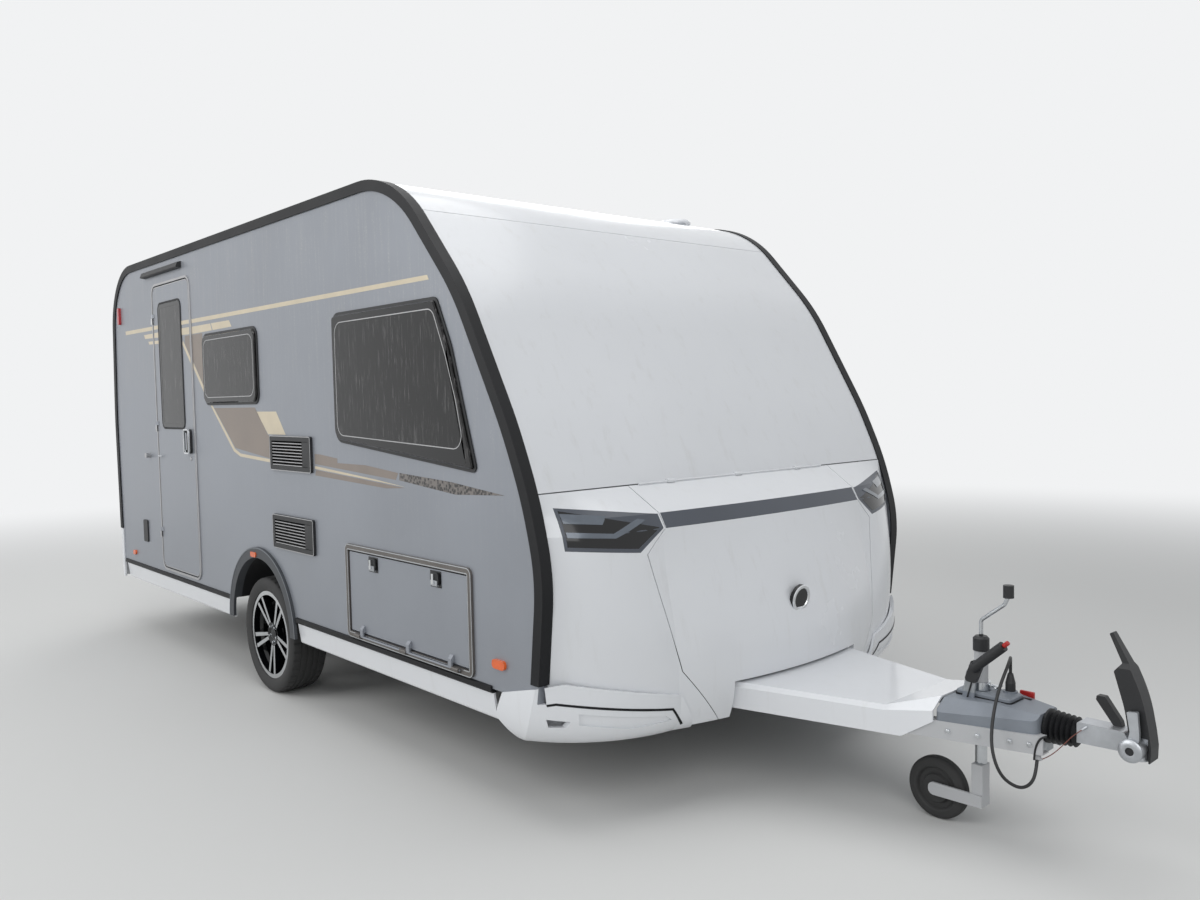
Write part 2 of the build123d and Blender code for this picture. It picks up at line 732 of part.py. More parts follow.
def awning_lamp():
    """Long awning lamp with a drip edge over the entrance door."""
    bar_face = outline([
        (WALL_Y, ROOF_Z - 124, 0), (WALL_Y, ROOF_Z - 82, 0), (WALL_Y + 22, ROOF_Z - 88, 8),
        (WALL_Y + 35, ROOF_Z - 120, 6)
    ])
    return mirrored(prism(bar_face, "x", -1720, -1030))


def chassis_rail():
    """Left longitudinal member: an open section with lightening holes."""
    outer = polygon(
        (RAIL_Y, RAIL_LOW_Z), (RAIL_Y + RAIL_FLANGE, RAIL_LOW_Z),
        (RAIL_Y + RAIL_FLANGE, RAIL_LOW_Z + RAIL_SECTION),
        (RAIL_Y + RAIL_SECTION, RAIL_LOW_Z + RAIL_SECTION),
        (RAIL_Y + RAIL_SECTION, BASE_Z - RAIL_SECTION),
        (RAIL_Y + RAIL_FLANGE, BASE_Z - RAIL_SECTION),
        (RAIL_Y + RAIL_FLANGE, BASE_Z), (RAIL_Y, BASE_Z)
    )
    rail = prism(outer, "x", RAIL_START_X, RAIL_END_X)
    count = 8
    for i in range(count):
        x = -2200 + i * 260
        if abs(x - AXLE_TUBE_X) > 150:
            hole = Pos(x, (RAIL_LOW_Z + BASE_Z) / 2) * Circle(36)
            rail -= prism(hole, "y", RAIL_Y - 5, RAIL_Y + 20)
    return rail


def cross_members():
    """Rear and front tubes between the longitudinal members."""
    members = []
    for x in (RAIL_START_X + 60, 1400):
        members.append(block(x - 20, x + 20, -RAIL_Y, RAIL_Y, BASE_Z - 46, BASE_Z - 6))
    return members


def beam_y(x):
    """Middle line of the left drawbar beam."""
    return min(BEAM_TIP_Y + BEAM_SLOPE * (BEAM_TIP_X - x), RAIL_Y - BEAM_WIDTH / 2)


BEND_X = BEAM_TIP_X - (RAIL_Y - BEAM_WIDTH / 2 - BEAM_TIP_Y) / BEAM_SLOPE
BEAM_REAR_X = 1500


def beam_band(outer, inner, x_tip):
    """Plan of the left beam between two distances from its middle line."""
    lines = []
    for side in (outer, inner):
        lines.append([(x, beam_y(x) + side) for x in (x_tip, BEND_X, BEAM_REAR_X)])
    return polygon(*lines[0], *reversed(lines[1]))


def drawbar_beam():
    """Left drawbar beam: a channel open towards the middle."""
    half = BEAM_WIDTH / 2
    beam = prism(beam_band(half, -half, BEAM_TIP_X), "z", BEAM_LOW_Z, BEAM_HIGH_Z)
    hollow = beam_band(half - BEAM_PLATE, -half - 10, BEAM_TIP_X + 50)
    beam -= prism(hollow, "z", BEAM_LOW_Z + BEAM_PLATE, BEAM_HIGH_Z - BEAM_PLATE)
    room = Pos(0, SHAFT_Z) * Circle(BELLOWS_R + 3)
    return beam - prism(room, "x", HOUSING_TIP_X + 2, BEAM_TIP_X + 5)


def torsion_axle():
    """Axle tube with its brackets, trailing arms, stub axles and brake drums."""
    axle = prism(Pos(AXLE_TUBE_X, AXLE_TUBE_Z) * Circle(AXLE_TUBE_R), "y", -860, 860)
    for sign in (1, -1):
        near = RAIL_Y + RAIL_FLANGE if sign > 0 else -RAIL_Y
        bracket = polygon(
            (AXLE_TUBE_X - 110, RAIL_LOW_Z), (AXLE_TUBE_X + 110, RAIL_LOW_Z),
            (AXLE_TUBE_X + 50, AXLE_TUBE_Z - 40), (AXLE_TUBE_X - 50, AXLE_TUBE_Z - 40)
        )
        axle += prism(bracket, "y", near - RAIL_FLANGE, near)
        arm_face = outline([
            (AXLE_TUBE_X + 60, AXLE_TUBE_Z + 55, 50), (AXLE_TUBE_X + 60, AXLE_TUBE_Z - 55, 50),
            (-50, TYRE_R - 45, 40), (-50, TYRE_R + 45, 40)
        ])
        arm = prism(arm_face, "y", 820, 858)
        drum = prism(Pos(0, TYRE_R) * Circle(118), "y", 858, 940)
        drum += prism(Pos(0, TYRE_R) * Circle(64), "y", 940, WHEEL_Y - HUB_DEPTH - 0.3)
        carrier = arm + drum
        axle += carrier if sign > 0 else mirrored(carrier)
    return axle


def tyre():
    """Left tyre, revolved, with four grooves round its tread."""
    half = TYRE_WIDTH / 2
    edge = RIM_WIDTH / 2
    seat = RIM_R - RIM_FLANGE + 0.8
    profile = [
        (seat, 36 - edge), (seat, 14 - edge), (RIM_R + 0.8, 8.5 - edge), (RIM_R + 12, -edge - 6),
        (RIM_R + 48, -half), (TYRE_R - 26, -half + 3), (TYRE_R - 7, -half + 12), (TYRE_R, -half + 30),
    ]
    for groove in (-48, -16, 16, 48):
        profile += [
            (TYRE_R, groove - 5), (TYRE_R - 7, groove - 3), (TYRE_R - 7, groove + 3), (TYRE_R, groove + 5)
        ]
    profile += [
        (TYRE_R, half - 30), (TYRE_R - 7, half - 12), (TYRE_R - 26, half - 3), (RIM_R + 48, half),
        (RIM_R + 12, edge + 6), (RIM_R + 0.8, edge - 8.5), (seat, edge - 14), (seat, edge - 36),
        (seat + 24, edge - 24), (RIM_R + 48, half - 14), (TYRE_R - 24, half - 20),
        (TYRE_R - 24, 20 - half), (RIM_R + 48, 14 - half), (seat + 24, 24 - edge),
    ]
    face = polygon(*profile)
    return Pos(0, WHEEL_Y, TYRE_R) * Rot(-90, 0, 0) * revolve(Plane.XZ * face, Axis.Z)


SPOKE_PAIRS = 5


def rim():
    """Left alloy wheel: barrel, hub and five pairs of spokes."""
    half = RIM_WIDTH / 2
    seat = RIM_R - RIM_FLANGE
    inner = seat - 8
    barrel = polygon(
        (RIM_R, half), (RIM_R, half - 7), (seat + 0.5, half - 13), (seat, half - 36),
        (seat - 12, half - 46), (seat - 14, 46 - half), (seat, 36 - half), (seat + 0.5, 13 - half),
        (RIM_R, 7 - half), (RIM_R, -half), (inner, -half), (inner - 14, 50 - half),
        (inner - 12, half - 50), (inner - 2, half - 34), (inner, half)
    )
    wheel = revolve(Plane.XZ * barrel, Axis.Z)
    dish = polygon(
        (0, half - 26), (34, half - 26), (60, half - 16), (inner + 4, half - 3),
        (inner + 4, half - 34), (90, half - 62), (0, half - 66)
    )
    spokes = Circle(62)
    step = 360 / SPOKE_PAIRS
    for i in range(SPOKE_PAIRS):
        for lean in (-1, 1):
            spoke = polygon(
                (40, lean * 8 - 9), (inner + 3, lean * 34 - 11), (inner + 3, lean * 34 + 11),
                (40, lean * 8 + 9)
            )
            spokes += Rot(0, 0, i * step + 90) * spoke
    face = prism(spokes, "z", -half, half) & revolve(Plane.XZ * dish, Axis.Z)
    hub_top = half - 50
    hub = Pos(0, 0, (hub_top - HUB_DEPTH) / 2) * Cylinder(66, hub_top + HUB_DEPTH)
    cap = Pos(0, 0, half - 24) * Cylinder(30, 10)
    wheel = wheel + face + hub + cap
    return Pos(0, WHEEL_Y, TYRE_R) * Rot(-90, 0, 0) * wheel


# Sections of the drawbar cover: x, height of the side fold and of the top, lean of the top.
COVER_ROWS = [
    (COVER_BACK_X, 438, COVER_TOP_Z, 14),
    (3290, 438, COVER_TOP_Z, 14),
    (COVER_FRONT_X, 462, 502, 62),
]


def cover_form(inset):
    """Filled form of the drawbar cover, moved inwards, through its sections."""
    sections = []
    for x, fold, top, lean in COVER_ROWS:
        side = beam_y(x) + BEAM_WIDTH / 2 + COVER_SIDE - inset
        low = COVER_LOW_Z - inset
        face = polygon(
            (-side, low), (side, low), (side, fold), (side - lean, top - inset),
            (lean - side, top - inset), (-side, fold)
        )
        sections.append(Pos(x, 0, 0) * (Plane.YZ * face))
    return loft(sections, ruled=True)


def drawbar_cover():
    """White fairing over the drawbar, open below, rising to the housing at its front."""
    corner = polygon(
        (COVER_CUT_X, COVER_LOW_Z), (COVER_FRONT_X + 8, BEAM_HIGH_Z),
        (COVER_FRONT_X + 8, 300), (COVER_CUT_X, 300)
    )
    return cover_form(0) - cover_form(COVER_WALL) - prism(corner, "y", -400, 400)


# Sections of the overrun housing: x, height of the shoulder, half width and height of the top.
HOUSING_ROWS = [
    (HOUSING_X, 458, 116, 497),
    (3640, 461, 86, 502),
    (HOUSING_TIP_X + 4, 464, 58, 490),
]


def overrun_housing():
    """Grey housing of the overrun device: raised lid, brake-lever bracket and plug holder."""
    half = beam_y(HOUSING_X) + BEAM_WIDTH / 2
    plan = outline([
        (HOUSING_X, -half, 12), (HOUSING_X, half, 12),
        (HOUSING_TIP_X, HOUSING_TIP_Y, 26), (HOUSING_TIP_X, -HOUSING_TIP_Y, 26)
    ])
    sections = []
    for x, shoulder, half_top, top in HOUSING_ROWS:
        low = beam_y(x) + BEAM_WIDTH / 2
        face = polygon(
            (-low, BEAM_HIGH_Z), (low, BEAM_HIGH_Z), (low, shoulder), (half_top, top),
            (-half_top, top), (-low, shoulder)
        )
        sections.append(Pos(x, 0, 0) * (Plane.YZ * face))
    housing = loft(sections, ruled=True) & prism(plan, "z", BEAM_HIGH_Z, 600)
    lid = prism(rounded((HOUSING_X + 8, HOUSING_X + 208, -LID_Y, LID_Y), 14), "z", 480, LID_TOP_Z)
    housing += chamfer(lid.faces().sort_by(Axis.Z)[-1].edges(), 5)
    keel = rounded((HOUSING_X + 22, HOUSING_TIP_X + 4, -44, 44), 15)
    housing += prism(keel, "z", KEEL_LOW_Z, BEAM_HIGH_Z)
    housing += prism(outline([
        (3500, 480, 0), (3545, 480, 0), (3556, 600, 14), (3520, 600, 14)
    ]), "y", BRACKET_Y - BRACKET, BRACKET_Y)
    housing += prism(Pos(PLUG_X, PLUG_Y) * Circle(24), "z", 480, PLUG_SEAT_Z)
    bore = Circle(JOCKEY_TUBE_R + 0.3)
    return housing - prism(Pos(JOCKEY_X, 0) * bore, "z", 200, 700)


def wire_lug(end, beside, reach):
    """Short round lug in line with the end of a wire, behind or beyond that end."""
    start = Vector(*end)
    along = (Vector(*beside) - start).normalized()
    return rod(tuple(start), tuple(start + along * reach), 2.5 * BREAKAWAY_R)


def bellows():
    """Rubber bellows between the housing and the coupling, as a row of folds."""
    points = [(0, HOUSING_TIP_X + 4), (BELLOWS_R, HOUSING_TIP_X + 4)]
    folds = 6
    pitch = (BELLOWS_TIP_X - HOUSING_TIP_X - 4) / folds
    for i in range(folds):
        x = HOUSING_TIP_X + 4 + pitch * i
        outer = BELLOWS_R - i * 1.5
        points += [(outer, x + pitch * 0.4), (outer - 12, x + pitch * 0.9)]
    points += [(36, BELLOWS_TIP_X), (0, BELLOWS_TIP_X)]
    face = polygon(*[(r, x) for r, x in points])
    return Pos(0, 0, SHAFT_Z) * Rot(0, 90, 0) * revolve(Plane.XZ * face, Axis.Z)


def coupling_head():
    """Stabiliser coupling: neck, ball cup open below and the friction pad caps."""
    neck = prism(outline([
        (BELLOWS_TIP_X, 418, 0), (BELLOWS_TIP_X, NECK_TOP_Z, 8), (4032, NECK_TOP_Z, 14),
        (4050, 455, 0), (4050, 424, 0)
    ]), "y", -34, 34)
    low = BALL_Z - CUP_DEPTH
    cup = Pos(BALL_X, 0, BALL_Z) * Sphere(CUP_R)
    cup &= block(BALL_X - 60, BALL_X + 60, -60, 60, low, BALL_Z + 60)
    pads = prism(Pos(PAD_X, PAD_Z) * Circle(PAD_R), "y", -PAD_Y, PAD_Y)
    nose = prism(Pos(BALL_X, 0) * Circle(CUP_R), "z", low, BALL_Z + 20)
    pivot = block(BALL_X - 14, BALL_X + 38, -20, 20, BALL_Z, HANDLE_FOOT_Z)
    lug = wire_lug(BREAKAWAY_ROUTE[-1], BREAKAWAY_ROUTE[-2], -20)
    head = neck + cup + pads + nose + pivot + lug
    ball = Pos(BALL_X, 0, BALL_Z) * Sphere(BALL_R + 0.2)
    throat = Pos(BALL_X, 0, BALL_Z - 50) * Cylinder(BALL_R + 0.2, 100)
    return head - ball - throat


def stabiliser_handle():
    """Large curved handle that presses the friction pads, standing up from the head."""
    foot = HANDLE_FOOT_Z + 0.3
    side = [
        (4046, foot, 0), (4034, 560, 400), (4000, 677, 5), (4021, 704, 3), (3979, 792, 3),
        (3990, 798, 3), (4047, 697, 60), (4087, 606, 500), (4106, 498, 300),
        (FRONT_REACH, 452, 0), (4110, 404, 3), (4104.3, 404, 0), (4104.3, foot, 0)
    ]
    front = polygon(
        (-33, 403), (33, 403), (33, 690), (20, 706), (13, 800), (-13, 800), (-20, 706), (-33, 690)
    )
    return prism(outline(side), "y", -33, 33) & prism(front, "x", 3900, 4200)


def coupling_lever():
    """Small lever on the neck and the short stub lever on the near side."""
    seat = NECK_TOP_Z + 0.3
    small = prism(outline([
        (3984, seat, 0), (4012, seat, 0), (4008, 505, 4), (3958, 576, 6), (3932, 576, 3),
        (3930, 562, 3)
    ]), "y", 8, 32)
    stub = outline([
        (4050, 462, 0), (4084, 462, 0), (4086, 495, 20), (4080, 567, 4), (4048, 562, 4), (4058, 500, 20)
    ]) - Pos(PAD_X, PAD_Z) * Circle(PAD_R + 0.3)
    return [small, prism(stub, "y", -58, -44)]


def jockey_outer():
    """Outer tube of the jockey wheel, closed at its top."""
    centre = Pos(JOCKEY_X, 0)
    tube = prism(centre * Circle(JOCKEY_TUBE_R), "z", JOCKEY_TUBE_LOW, JOCKEY_TUBE_TOP)
    hollow = centre * Circle(JOCKEY_LEG_R + 0.5)
    return tube - prism(hollow, "z", JOCKEY_TUBE_LOW - 1, JOCKEY_TUBE_TOP - 6)


def jockey_crank():
    """Black cap, cranked rod and knob on top of the jockey tube."""
    cap = Pos(JOCKEY_X, 0, JOCKEY_TUBE_TOP + 26) * Cylinder(28, 52)
    cap = chamfer(cap.edges().filter_by(GeomType.CIRCLE).sort_by(Axis.Z)[-1], 8)
    crank = bar([
        (JOCKEY_X, 0, JOCKEY_TUBE_TOP + 50, 0), (JOCKEY_X, 0, 765, 18),
        (JOCKEY_X + 86, 0, 832, 18), (JOCKEY_X + 100, 0, 862, 0)
    ], 7)
    knob = Pos(JOCKEY_X + 100, 0, 880) * Cylinder(18, 44)
    return cap + crank + knob


def jockey_leg():
    """Inner tube that slides in the outer one and carries the fork."""
    face = Pos(JOCKEY_X, 0) * Circle(JOCKEY_LEG_R)
    return prism(face, "z", 250, JOCKEY_TUBE_TOP - 110)


def jockey_fork():
    """Box under the leg with one arm that trails back on the right of the small wheel."""
    half = JOCKEY_WHEEL_W / 2 + FORK_GAP
    hub_x = JOCKEY_X - JOCKEY_TRAIL
    front = JOCKEY_X + JOCKEY_LEG_R
    arm = outline([(hub_x - 22, 142, 22), (front, 141, 2), (front, 98, 2), (hub_x - 22, 94, 22)])
    fork = prism(arm, "y", -half - FORK_PLATE, -half)
    fork += block(JOCKEY_X - JOCKEY_LEG_R, front, -half, JOCKEY_LEG_R, 98, FORK_TOP_Z)
    hub = Pos(hub_x, JOCKEY_WHEEL_R)
    fork += prism(hub * Circle(8), "y", -half - FORK_PLATE, half + 5)
    return fork + prism(hub * Circle(15), "y", half, half + 5)


def jockey_wheel():
    """Small solid-tyred wheel with a bore for its pin."""
    half = JOCKEY_WHEEL_W / 2
    profile = outline([
        (8.4, -half + 4, 0), (50, -half + 4, 0), (56, -half + 14, 0), (72, -half + 14, 0),
        (80, -half, 10), (JOCKEY_WHEEL_R, -half + 6, 16), (JOCKEY_WHEEL_R, half - 6, 16),
        (80, half, 10), (72, half - 14, 0), (56, half - 14, 0), (50, half - 4, 0), (8.4, half - 4, 0)
    ])
    wheel = revolve(Plane.XZ * profile, Axis.Z)
    return Pos(JOCKEY_X - JOCKEY_TRAIL, 0, JOCKEY_WHEEL_R) * Rot(-90, 0, 0) * wheel


def handbrake_lever():
    """Brake lever beside its bracket, with the round grip."""
    side = BRACKET_Y - BRACKET
    plate = prism(outline([
        (3516, 560, 12), (3560, 556, 12), (3585, 620, 10), (3545, 640, 10)
    ]), "y", side - 14, side)
    return plate + rod((3552, side - 16, 609), (3662, side - 16, 707), 18)


def steady_bracket(x, direction):
    """Left bracket of a corner steady: top plate, cheeks and the screw with its nut."""
    half = STEADY_WIDTH / 2
    inner = RAIL_Y + RAIL_FLANGE - 5
    top = block(x - 50, x + 50, inner, STEADY_Y + half + 12, BASE_Z - 5, BASE_Z)
    for side in (1, -1):
        y = STEADY_Y + side * (half + 6)
        cheek = prism(outline([
            (x - 40, BASE_Z - 4, 0), (x + 40, BASE_Z - 4, 0), (x + 18, STEADY_PIVOT_Z - 20, 12),
            (x - 18, STEADY_PIVOT_Z - 20, 12)
        ]), "y", y - 3, y + 3)
        top += cheek - prism(Pos(x, STEADY_PIVOT_Z) * Circle(8.3), "y", y - 5, y + 5)
    screw_end = x + direction * 460
    low = min(x + direction * 20, screw_end)
    high = max(x + direction * 20, screw_end)
    top += prism(Pos(STEADY_Y, 466) * Circle(7), "x", low, high)
    hanger = x + direction * 440
    top += block(hanger - 4, hanger + 4, STEADY_Y - 20, STEADY_Y + 20, 455, BASE_Z)
    return top


def steady_leg(x, direction):
    """Left steady, folded up: a channel leg with pivot stubs and a foot plate."""
    half = STEADY_WIDTH / 2
    tip = x + direction * STEADY_LEG
    leg = prism(outline([
        (x - direction * 18, STEADY_PIVOT_Z + 16, 10), (tip, STEADY_PIVOT_Z + 16, 0),
        (tip, STEADY_PIVOT_Z - 16, 0), (x - direction * 18, STEADY_PIVOT_Z - 18, 10)
    ]), "y", STEADY_Y - half, STEADY_Y + half)
    low = min(x + direction * 26, tip - direction * 10)
    high = max(x + direction * 26, tip - direction * 10)
    width = half - 5
    z = STEADY_PIVOT_Z
    leg -= block(low, high, STEADY_Y - width, STEADY_Y + width, z - 12, z + 30)
    stub = half + 12
    leg += prism(Pos(x, z) * Circle(8), "y", STEADY_Y - stub, STEADY_Y + stub)
    return leg + block(tip - 8, tip + 8, STEADY_Y - 45, STEADY_Y + 45, z - 40, z + 16)


def entrance_door():
    """Door leaf with its window opening, outer flange and handle."""
    face = WALL_Y + DOOR_PROUD
    leaf = prism(rounded(DOOR, DOOR_ROUND, DOOR_GAP), "y", INNER_Y, face)
    leaf -= prism(rounded(DOOR_PANE, 40), "y", INNER_Y - 10, WALL_Y + 20)
    handle = prism(rounded(DOOR_HANDLE, 26), "y", face, face + 14)
    handle -= prism(rounded(DOOR_HANDLE, 26, 9), "y", face + 3, face + 20)
    x0, x1, z0, z1 = DOOR_HANDLE
    paddle = block(x0 + 14, x0 + 30, face + 2, face + 12, z0 + 20, z1 - 20)
    leaf = leaf + handle + paddle
    pin = Pos(*DOOR_PIVOT)
    px, py = DOOR_PIVOT
    arm = polygon(
        (px - 3, py - 3), (px + 6.5, py - 3.5), (px + 10.5, py - 8), (px + 32, py - 8),
        (px + 32, py - 4), (px + 10.5, py), (px + 3, py + 3.5), (px - 3, py + 3.5)
    )
    for z in DOOR_HINGES:
        top = z + DOOR_LUG / 2
        leaf += prism(pin * Circle(DOOR_PIN_R), "z", z - DOOR_LUG / 2, top + 10)
        leaf += prism(arm, "z", top + 1, top + 26)
    return mirrored(leaf)


def entrance_door_pane():
    """Tinted pane that fills the door's window opening."""
    pane = rounded(DOOR_PANE, 40, 0.3)
    return mirrored(prism(pane, "y", WALL_Y - 12, WALL_Y + DOOR_PROUD + 3))


def flap(limits, side):
    """Locker flap set in its frame, with two turn latches near its top."""
    x0, x1, z0, z1 = limits
    leaf = prism(rounded(limits, 40, FLAP_FRAME + FLAP_GAP), "y", INNER_Y + 14, WALL_Y + 4)
    for share in (0.25, 0.75):
        x = x0 + (x1 - x0) * share
        latch = prism(rounded((x - 30, x + 30, z1 - 98, z1 - 44), 14), "y", WALL_Y + 4, WALL_Y + 14)
        latch += block(x - 8, x + 8, WALL_Y + 10, WALL_Y + 24, z1 - 92, z1 - 50)
        leaf += latch
    z = z0 + FLAP_PIVOT_RISE
    lugs = flap_lug_ends(limits)
    pin = Pos(FLAP_PIVOT_Y, z) * Circle(FLAP_PIN_R)
    leaf += prism(pin, "x", lugs[0][0] - 3, lugs[-1][1] + 3)
    reach = FLAP_FRAME + FLAP_GAP
    arm = polygon(
        (WALL_Y + 3, z0 + reach + 5), (WALL_Y + 3, z0 + reach + 35), (WALL_Y + 8, z0 + reach + 35),
        (WALL_Y + 20, z0 + reach + 20), (WALL_Y + 20, z), (WALL_Y + 12, z),
        (WALL_Y + 12, z0 + reach + 5)
    )
    for low, high in (lugs[0], lugs[1]):
        leaf += prism(arm, "x", high + 1.5, high + 26)
    leaf += prism(arm, "x", lugs[2][0] - 26, lugs[2][0] - 1.5)
    return sided(leaf, side)


def flap_lug_ends(limits):
    """Ends along x of the three hinge lugs under a flap."""
    x0, x1 = limits[:2]
    middles = [x0 + (x1 - x0) * share for share in FLAP_LUG_SHARES]
    return [(x - FLAP_LUG / 2, x + FLAP_LUG / 2) for x in middles]


def flap_frame(limits, side):
    """Extruded frame of a locker flap, with three hinge lugs along the bottom."""
    x0, x1, z0, z1 = limits
    plate = rounded(limits, 30) - rounded(limits, 30, FLAP_FRAME)
    frame = prism(plate, "y", WALL_Y, WALL_Y + 10)
    y, z = FLAP_PIVOT_Y, z0 + FLAP_PIVOT_RISE
    lug = outline([
        (WALL_Y + 9, z - 13, 0), (y + 9, z - 9, 6), (y + 9, z + 7, 6), (WALL_Y + 9, z + 9, 0)
    ]) - Pos(y, z) * Circle(FLAP_PIN_R + PIN_GAP)
    for low, high in flap_lug_ends(limits):
        frame += prism(lug, "x", low, high)
    return sided(frame, side)


def door_frame():
    """Thin aluminium frame round the entrance doorway."""
    x0, x1, z0, z1 = DOOR
    grown = (x0 - 14, x1 + 14, z0 - 14, z1 + 14)
    face = rounded(grown, DOOR_ROUND + 14) - rounded(DOOR, DOOR_ROUND)
    frame = prism(face, "y", WALL_Y, WALL_Y + 7)
    px, py = DOOR_PIVOT
    for z in DOOR_HINGES:
        low, high = z - DOOR_LUG / 2, z + DOOR_LUG / 2
        frame += prism(Pos(px, py) * Circle(DOOR_PIN_R + 3.5), "z", low, high)
        frame += block(px - 6.5, px + 2, WALL_Y + 6, py, low, high)
        frame -= prism(Pos(px, py) * Circle(DOOR_PIN_R + PIN_GAP), "z", low - 1, high + 1)
    return mirrored(frame)


def rooflight_frame():
    """Low kerb of the rooflight on the roof."""
    x, y, half = ROOFLIGHT
    ring = rounded((x - half, x + half, y - half, y + half), 40)
    ring -= rounded((x - half, x + half, y - half, y + half), 40, 30)
    return prism(ring, "z", ROOF_Z - SKIN_INSET, ROOF_Z + 28)


def rooflight_lid():
    """Clear dome lid that lies on the kerb."""
    x, y, half = ROOFLIGHT
    grow = half + 12
    face = rounded((x - grow, x + grow, y - grow, y + grow), 48)
    lid = prism(face, "z", ROOF_Z + 28.5, ROOF_Z + 52)
    top = lid.faces().sort_by(Axis.Z)[-1]
    return chamfer(top.edges(), 16)


def roof_cowl():
    """Low round flue cowl near the front of the roof, on the left."""
    x, y, radius = VENT_COWL
    base = Pos(x, y, ROOF_Z + 9) * Cylinder(radius * 0.7, 30)
    cap = Pos(x, y, ROOF_Z + 34) * Cylinder(radius, 22)
    cap = chamfer(cap.edges().filter_by(GeomType.CIRCLE).sort_by(Axis.Z)[-1], 12)
    return base + cap


SEAT_BACK_Y = INNER_Y - 0.5
# Hollow furniture, open where it meets the floor or the left wall:
# x from, x to, y from, y to, z from, z to, thickness of the top, open side.
FURNITURE = {
    "bed base": (700, 1990, -1060, 1060, FLOOR_TOP, FLOOR_TOP + BED_HEIGHT, BED_TOP, "floor"),
    "rear seat": (-900, -350, 560, SEAT_BACK_Y, FLOOR_TOP, FLOOR_TOP + SEAT_HEIGHT, BOARD, "floor"),
    "front seat": (80, 600, 560, SEAT_BACK_Y, FLOOR_TOP, FLOOR_TOP + SEAT_HEIGHT, BOARD, "floor"),
    "kitchen": (-830, 60, -SEAT_BACK_Y, -520, FLOOR_TOP, FLOOR_TOP + 900, WORKTOP, "floor"),
    "tall cabinet": (100, 680, -SEAT_BACK_Y, -520, FLOOR_TOP, ROOF_Z - 126, BOARD, "floor"),
    "washroom bench": (REAR_X + 72, -1700, 480, SEAT_BACK_Y, FLOOR_TOP, 1120, BOARD, "left"),
    "top lockers": (-1500, 560, 800, SEAT_BACK_Y, ROOF_Z - 476, ROOF_Z - 116, BOARD, "left"),
}
# washroom wall: x from, x to
PARTITION = (-1660, -1642)


def furniture():
    """Hollow furniture carcasses and the washroom wall with its doorway."""
    pieces = []
    for name, (x0, x1, y0, y1, z0, z1, top, open_side) in FURNITURE.items():
        low = z0 - 10 if open_side == "floor" else z0 + BOARD
        left = y1 + 10 if open_side == "left" else y1 - BOARD
        inner = block(x0 + BOARD, x1 - BOARD, y0 + BOARD, left, low, z1 - top)
        piece = block(x0, x1, y0, y1, z0, z1) - inner - wheel_box_room(2)
        if name == "bed base":
            x_from, x_to, z_from, z_to = FLAP
            piece -= block(x_from + 35, x_to - 75, y0 - 5, y0 + 30, z_from + 40, z_to - 40)
        pieces.append(piece)
    wall = block(*PARTITION, -SEAT_BACK_Y, SEAT_BACK_Y, FLOOR_TOP, ROOF_Z - 81)
    pieces.append(wall - block(-1700, -1600, -350, 250, FLOOR_TOP - 5, ROOF_Z - 211))
    return pieces


def mattress():
    low = FLOOR_TOP + BED_HEIGHT + 0.3
    return block(710, 1980, -1030, 1030, low, low + 138)


# Routes of the two cables: x, y, z of each corner of the path.
CABLE_R = 5.5
CABLE_ROUTE = [
    (PLUG_X, PLUG_Y, PLUG_SEAT_Z + 62),
    (PLUG_X, PLUG_Y, 622),
    (3642, 11, 649),
    (3657, -24, 650),
    (3663, -58, 628),
    (3660, -90, 588),
    (3660, -118, 550),
    (3662, -144, 510),
    (3665, -168, 459),
    (3674, -192, 406),
    (3689, -205, 359),
    (3709, -208, 318),
    (3730, -195, 287),
    (3764, -174, 268),
    (3780, -136, 274),
    (3782, -100, 300),
    (3776, -78, 341),
]
BREAKAWAY_R = 1.5
BREAKAWAY_ROUTE = [
    (3792, -74, 348),
    (3808, -72, 358),
    (3832, -68, 380),
    (3858, -62, 412),
    (3884, -56, 446),
    (3906, -42, 466),
]


def bend_radii(route):
    """Radius of each inner corner, as large as its two runs allow."""
    radii = []
    for i in range(1, len(route) - 1):
        before = Vector(*route[i]) - Vector(*route[i - 1])
        after = Vector(*route[i + 1]) - Vector(*route[i])
        half_turn = math.radians(before.get_angle(after)) / 2
        radii.append(0.45 * min(before.length, after.length) / math.tan(half_turn))
    return radii


def cord(route, radius, name):
    """Round cord along its route, straight runs joined by tangent arcs."""
    radii = bend_radii(route)
    path = FilletPolyline(*route, radius=radii)
    start = Plane(origin=route[0], z_dir=path % 0)
    tube = sweep(start * Circle(radius), path=path)
    expected = math.pi * radius**2 * path.length
    print(name, "length", round(path.length), "radii", [round(r) for r in radii])
    print(name, "volume over section times length", round(tube.volume / expected, 4))
    return tube


def cable_plug():
    """Parked connector with its ribbed grip, standing in its holder on the housing."""
    top = CABLE_ROUTE[0][2]
    seat = PLUG_SEAT_Z + 0.3
    grip = top - 34
    body = rod((PLUG_X, PLUG_Y, seat), (PLUG_X, PLUG_Y, grip), 17)
    return body + Pos(PLUG_X, PLUG_Y, (grip + top) / 2) * Cone(17, 9, top - grip)


def cable_gland():
    """Round gland on the right drawbar beam where the connection cable goes in."""
    end = Vector(*CABLE_ROUTE[-1])
    along = (end - Vector(*CABLE_ROUTE[-2])).normalized()
    return rod(tuple(end), tuple(end + along * 34), 12)


def sill_parts():
    parts = []
    for x0, x1 in ((REAR_X + 102, -ARCH_R - 2), (ARCH_R + 2, 2160)):
        piece = skirt(x0, x1)
        parts += [piece, mirrored(piece)]
    return parts


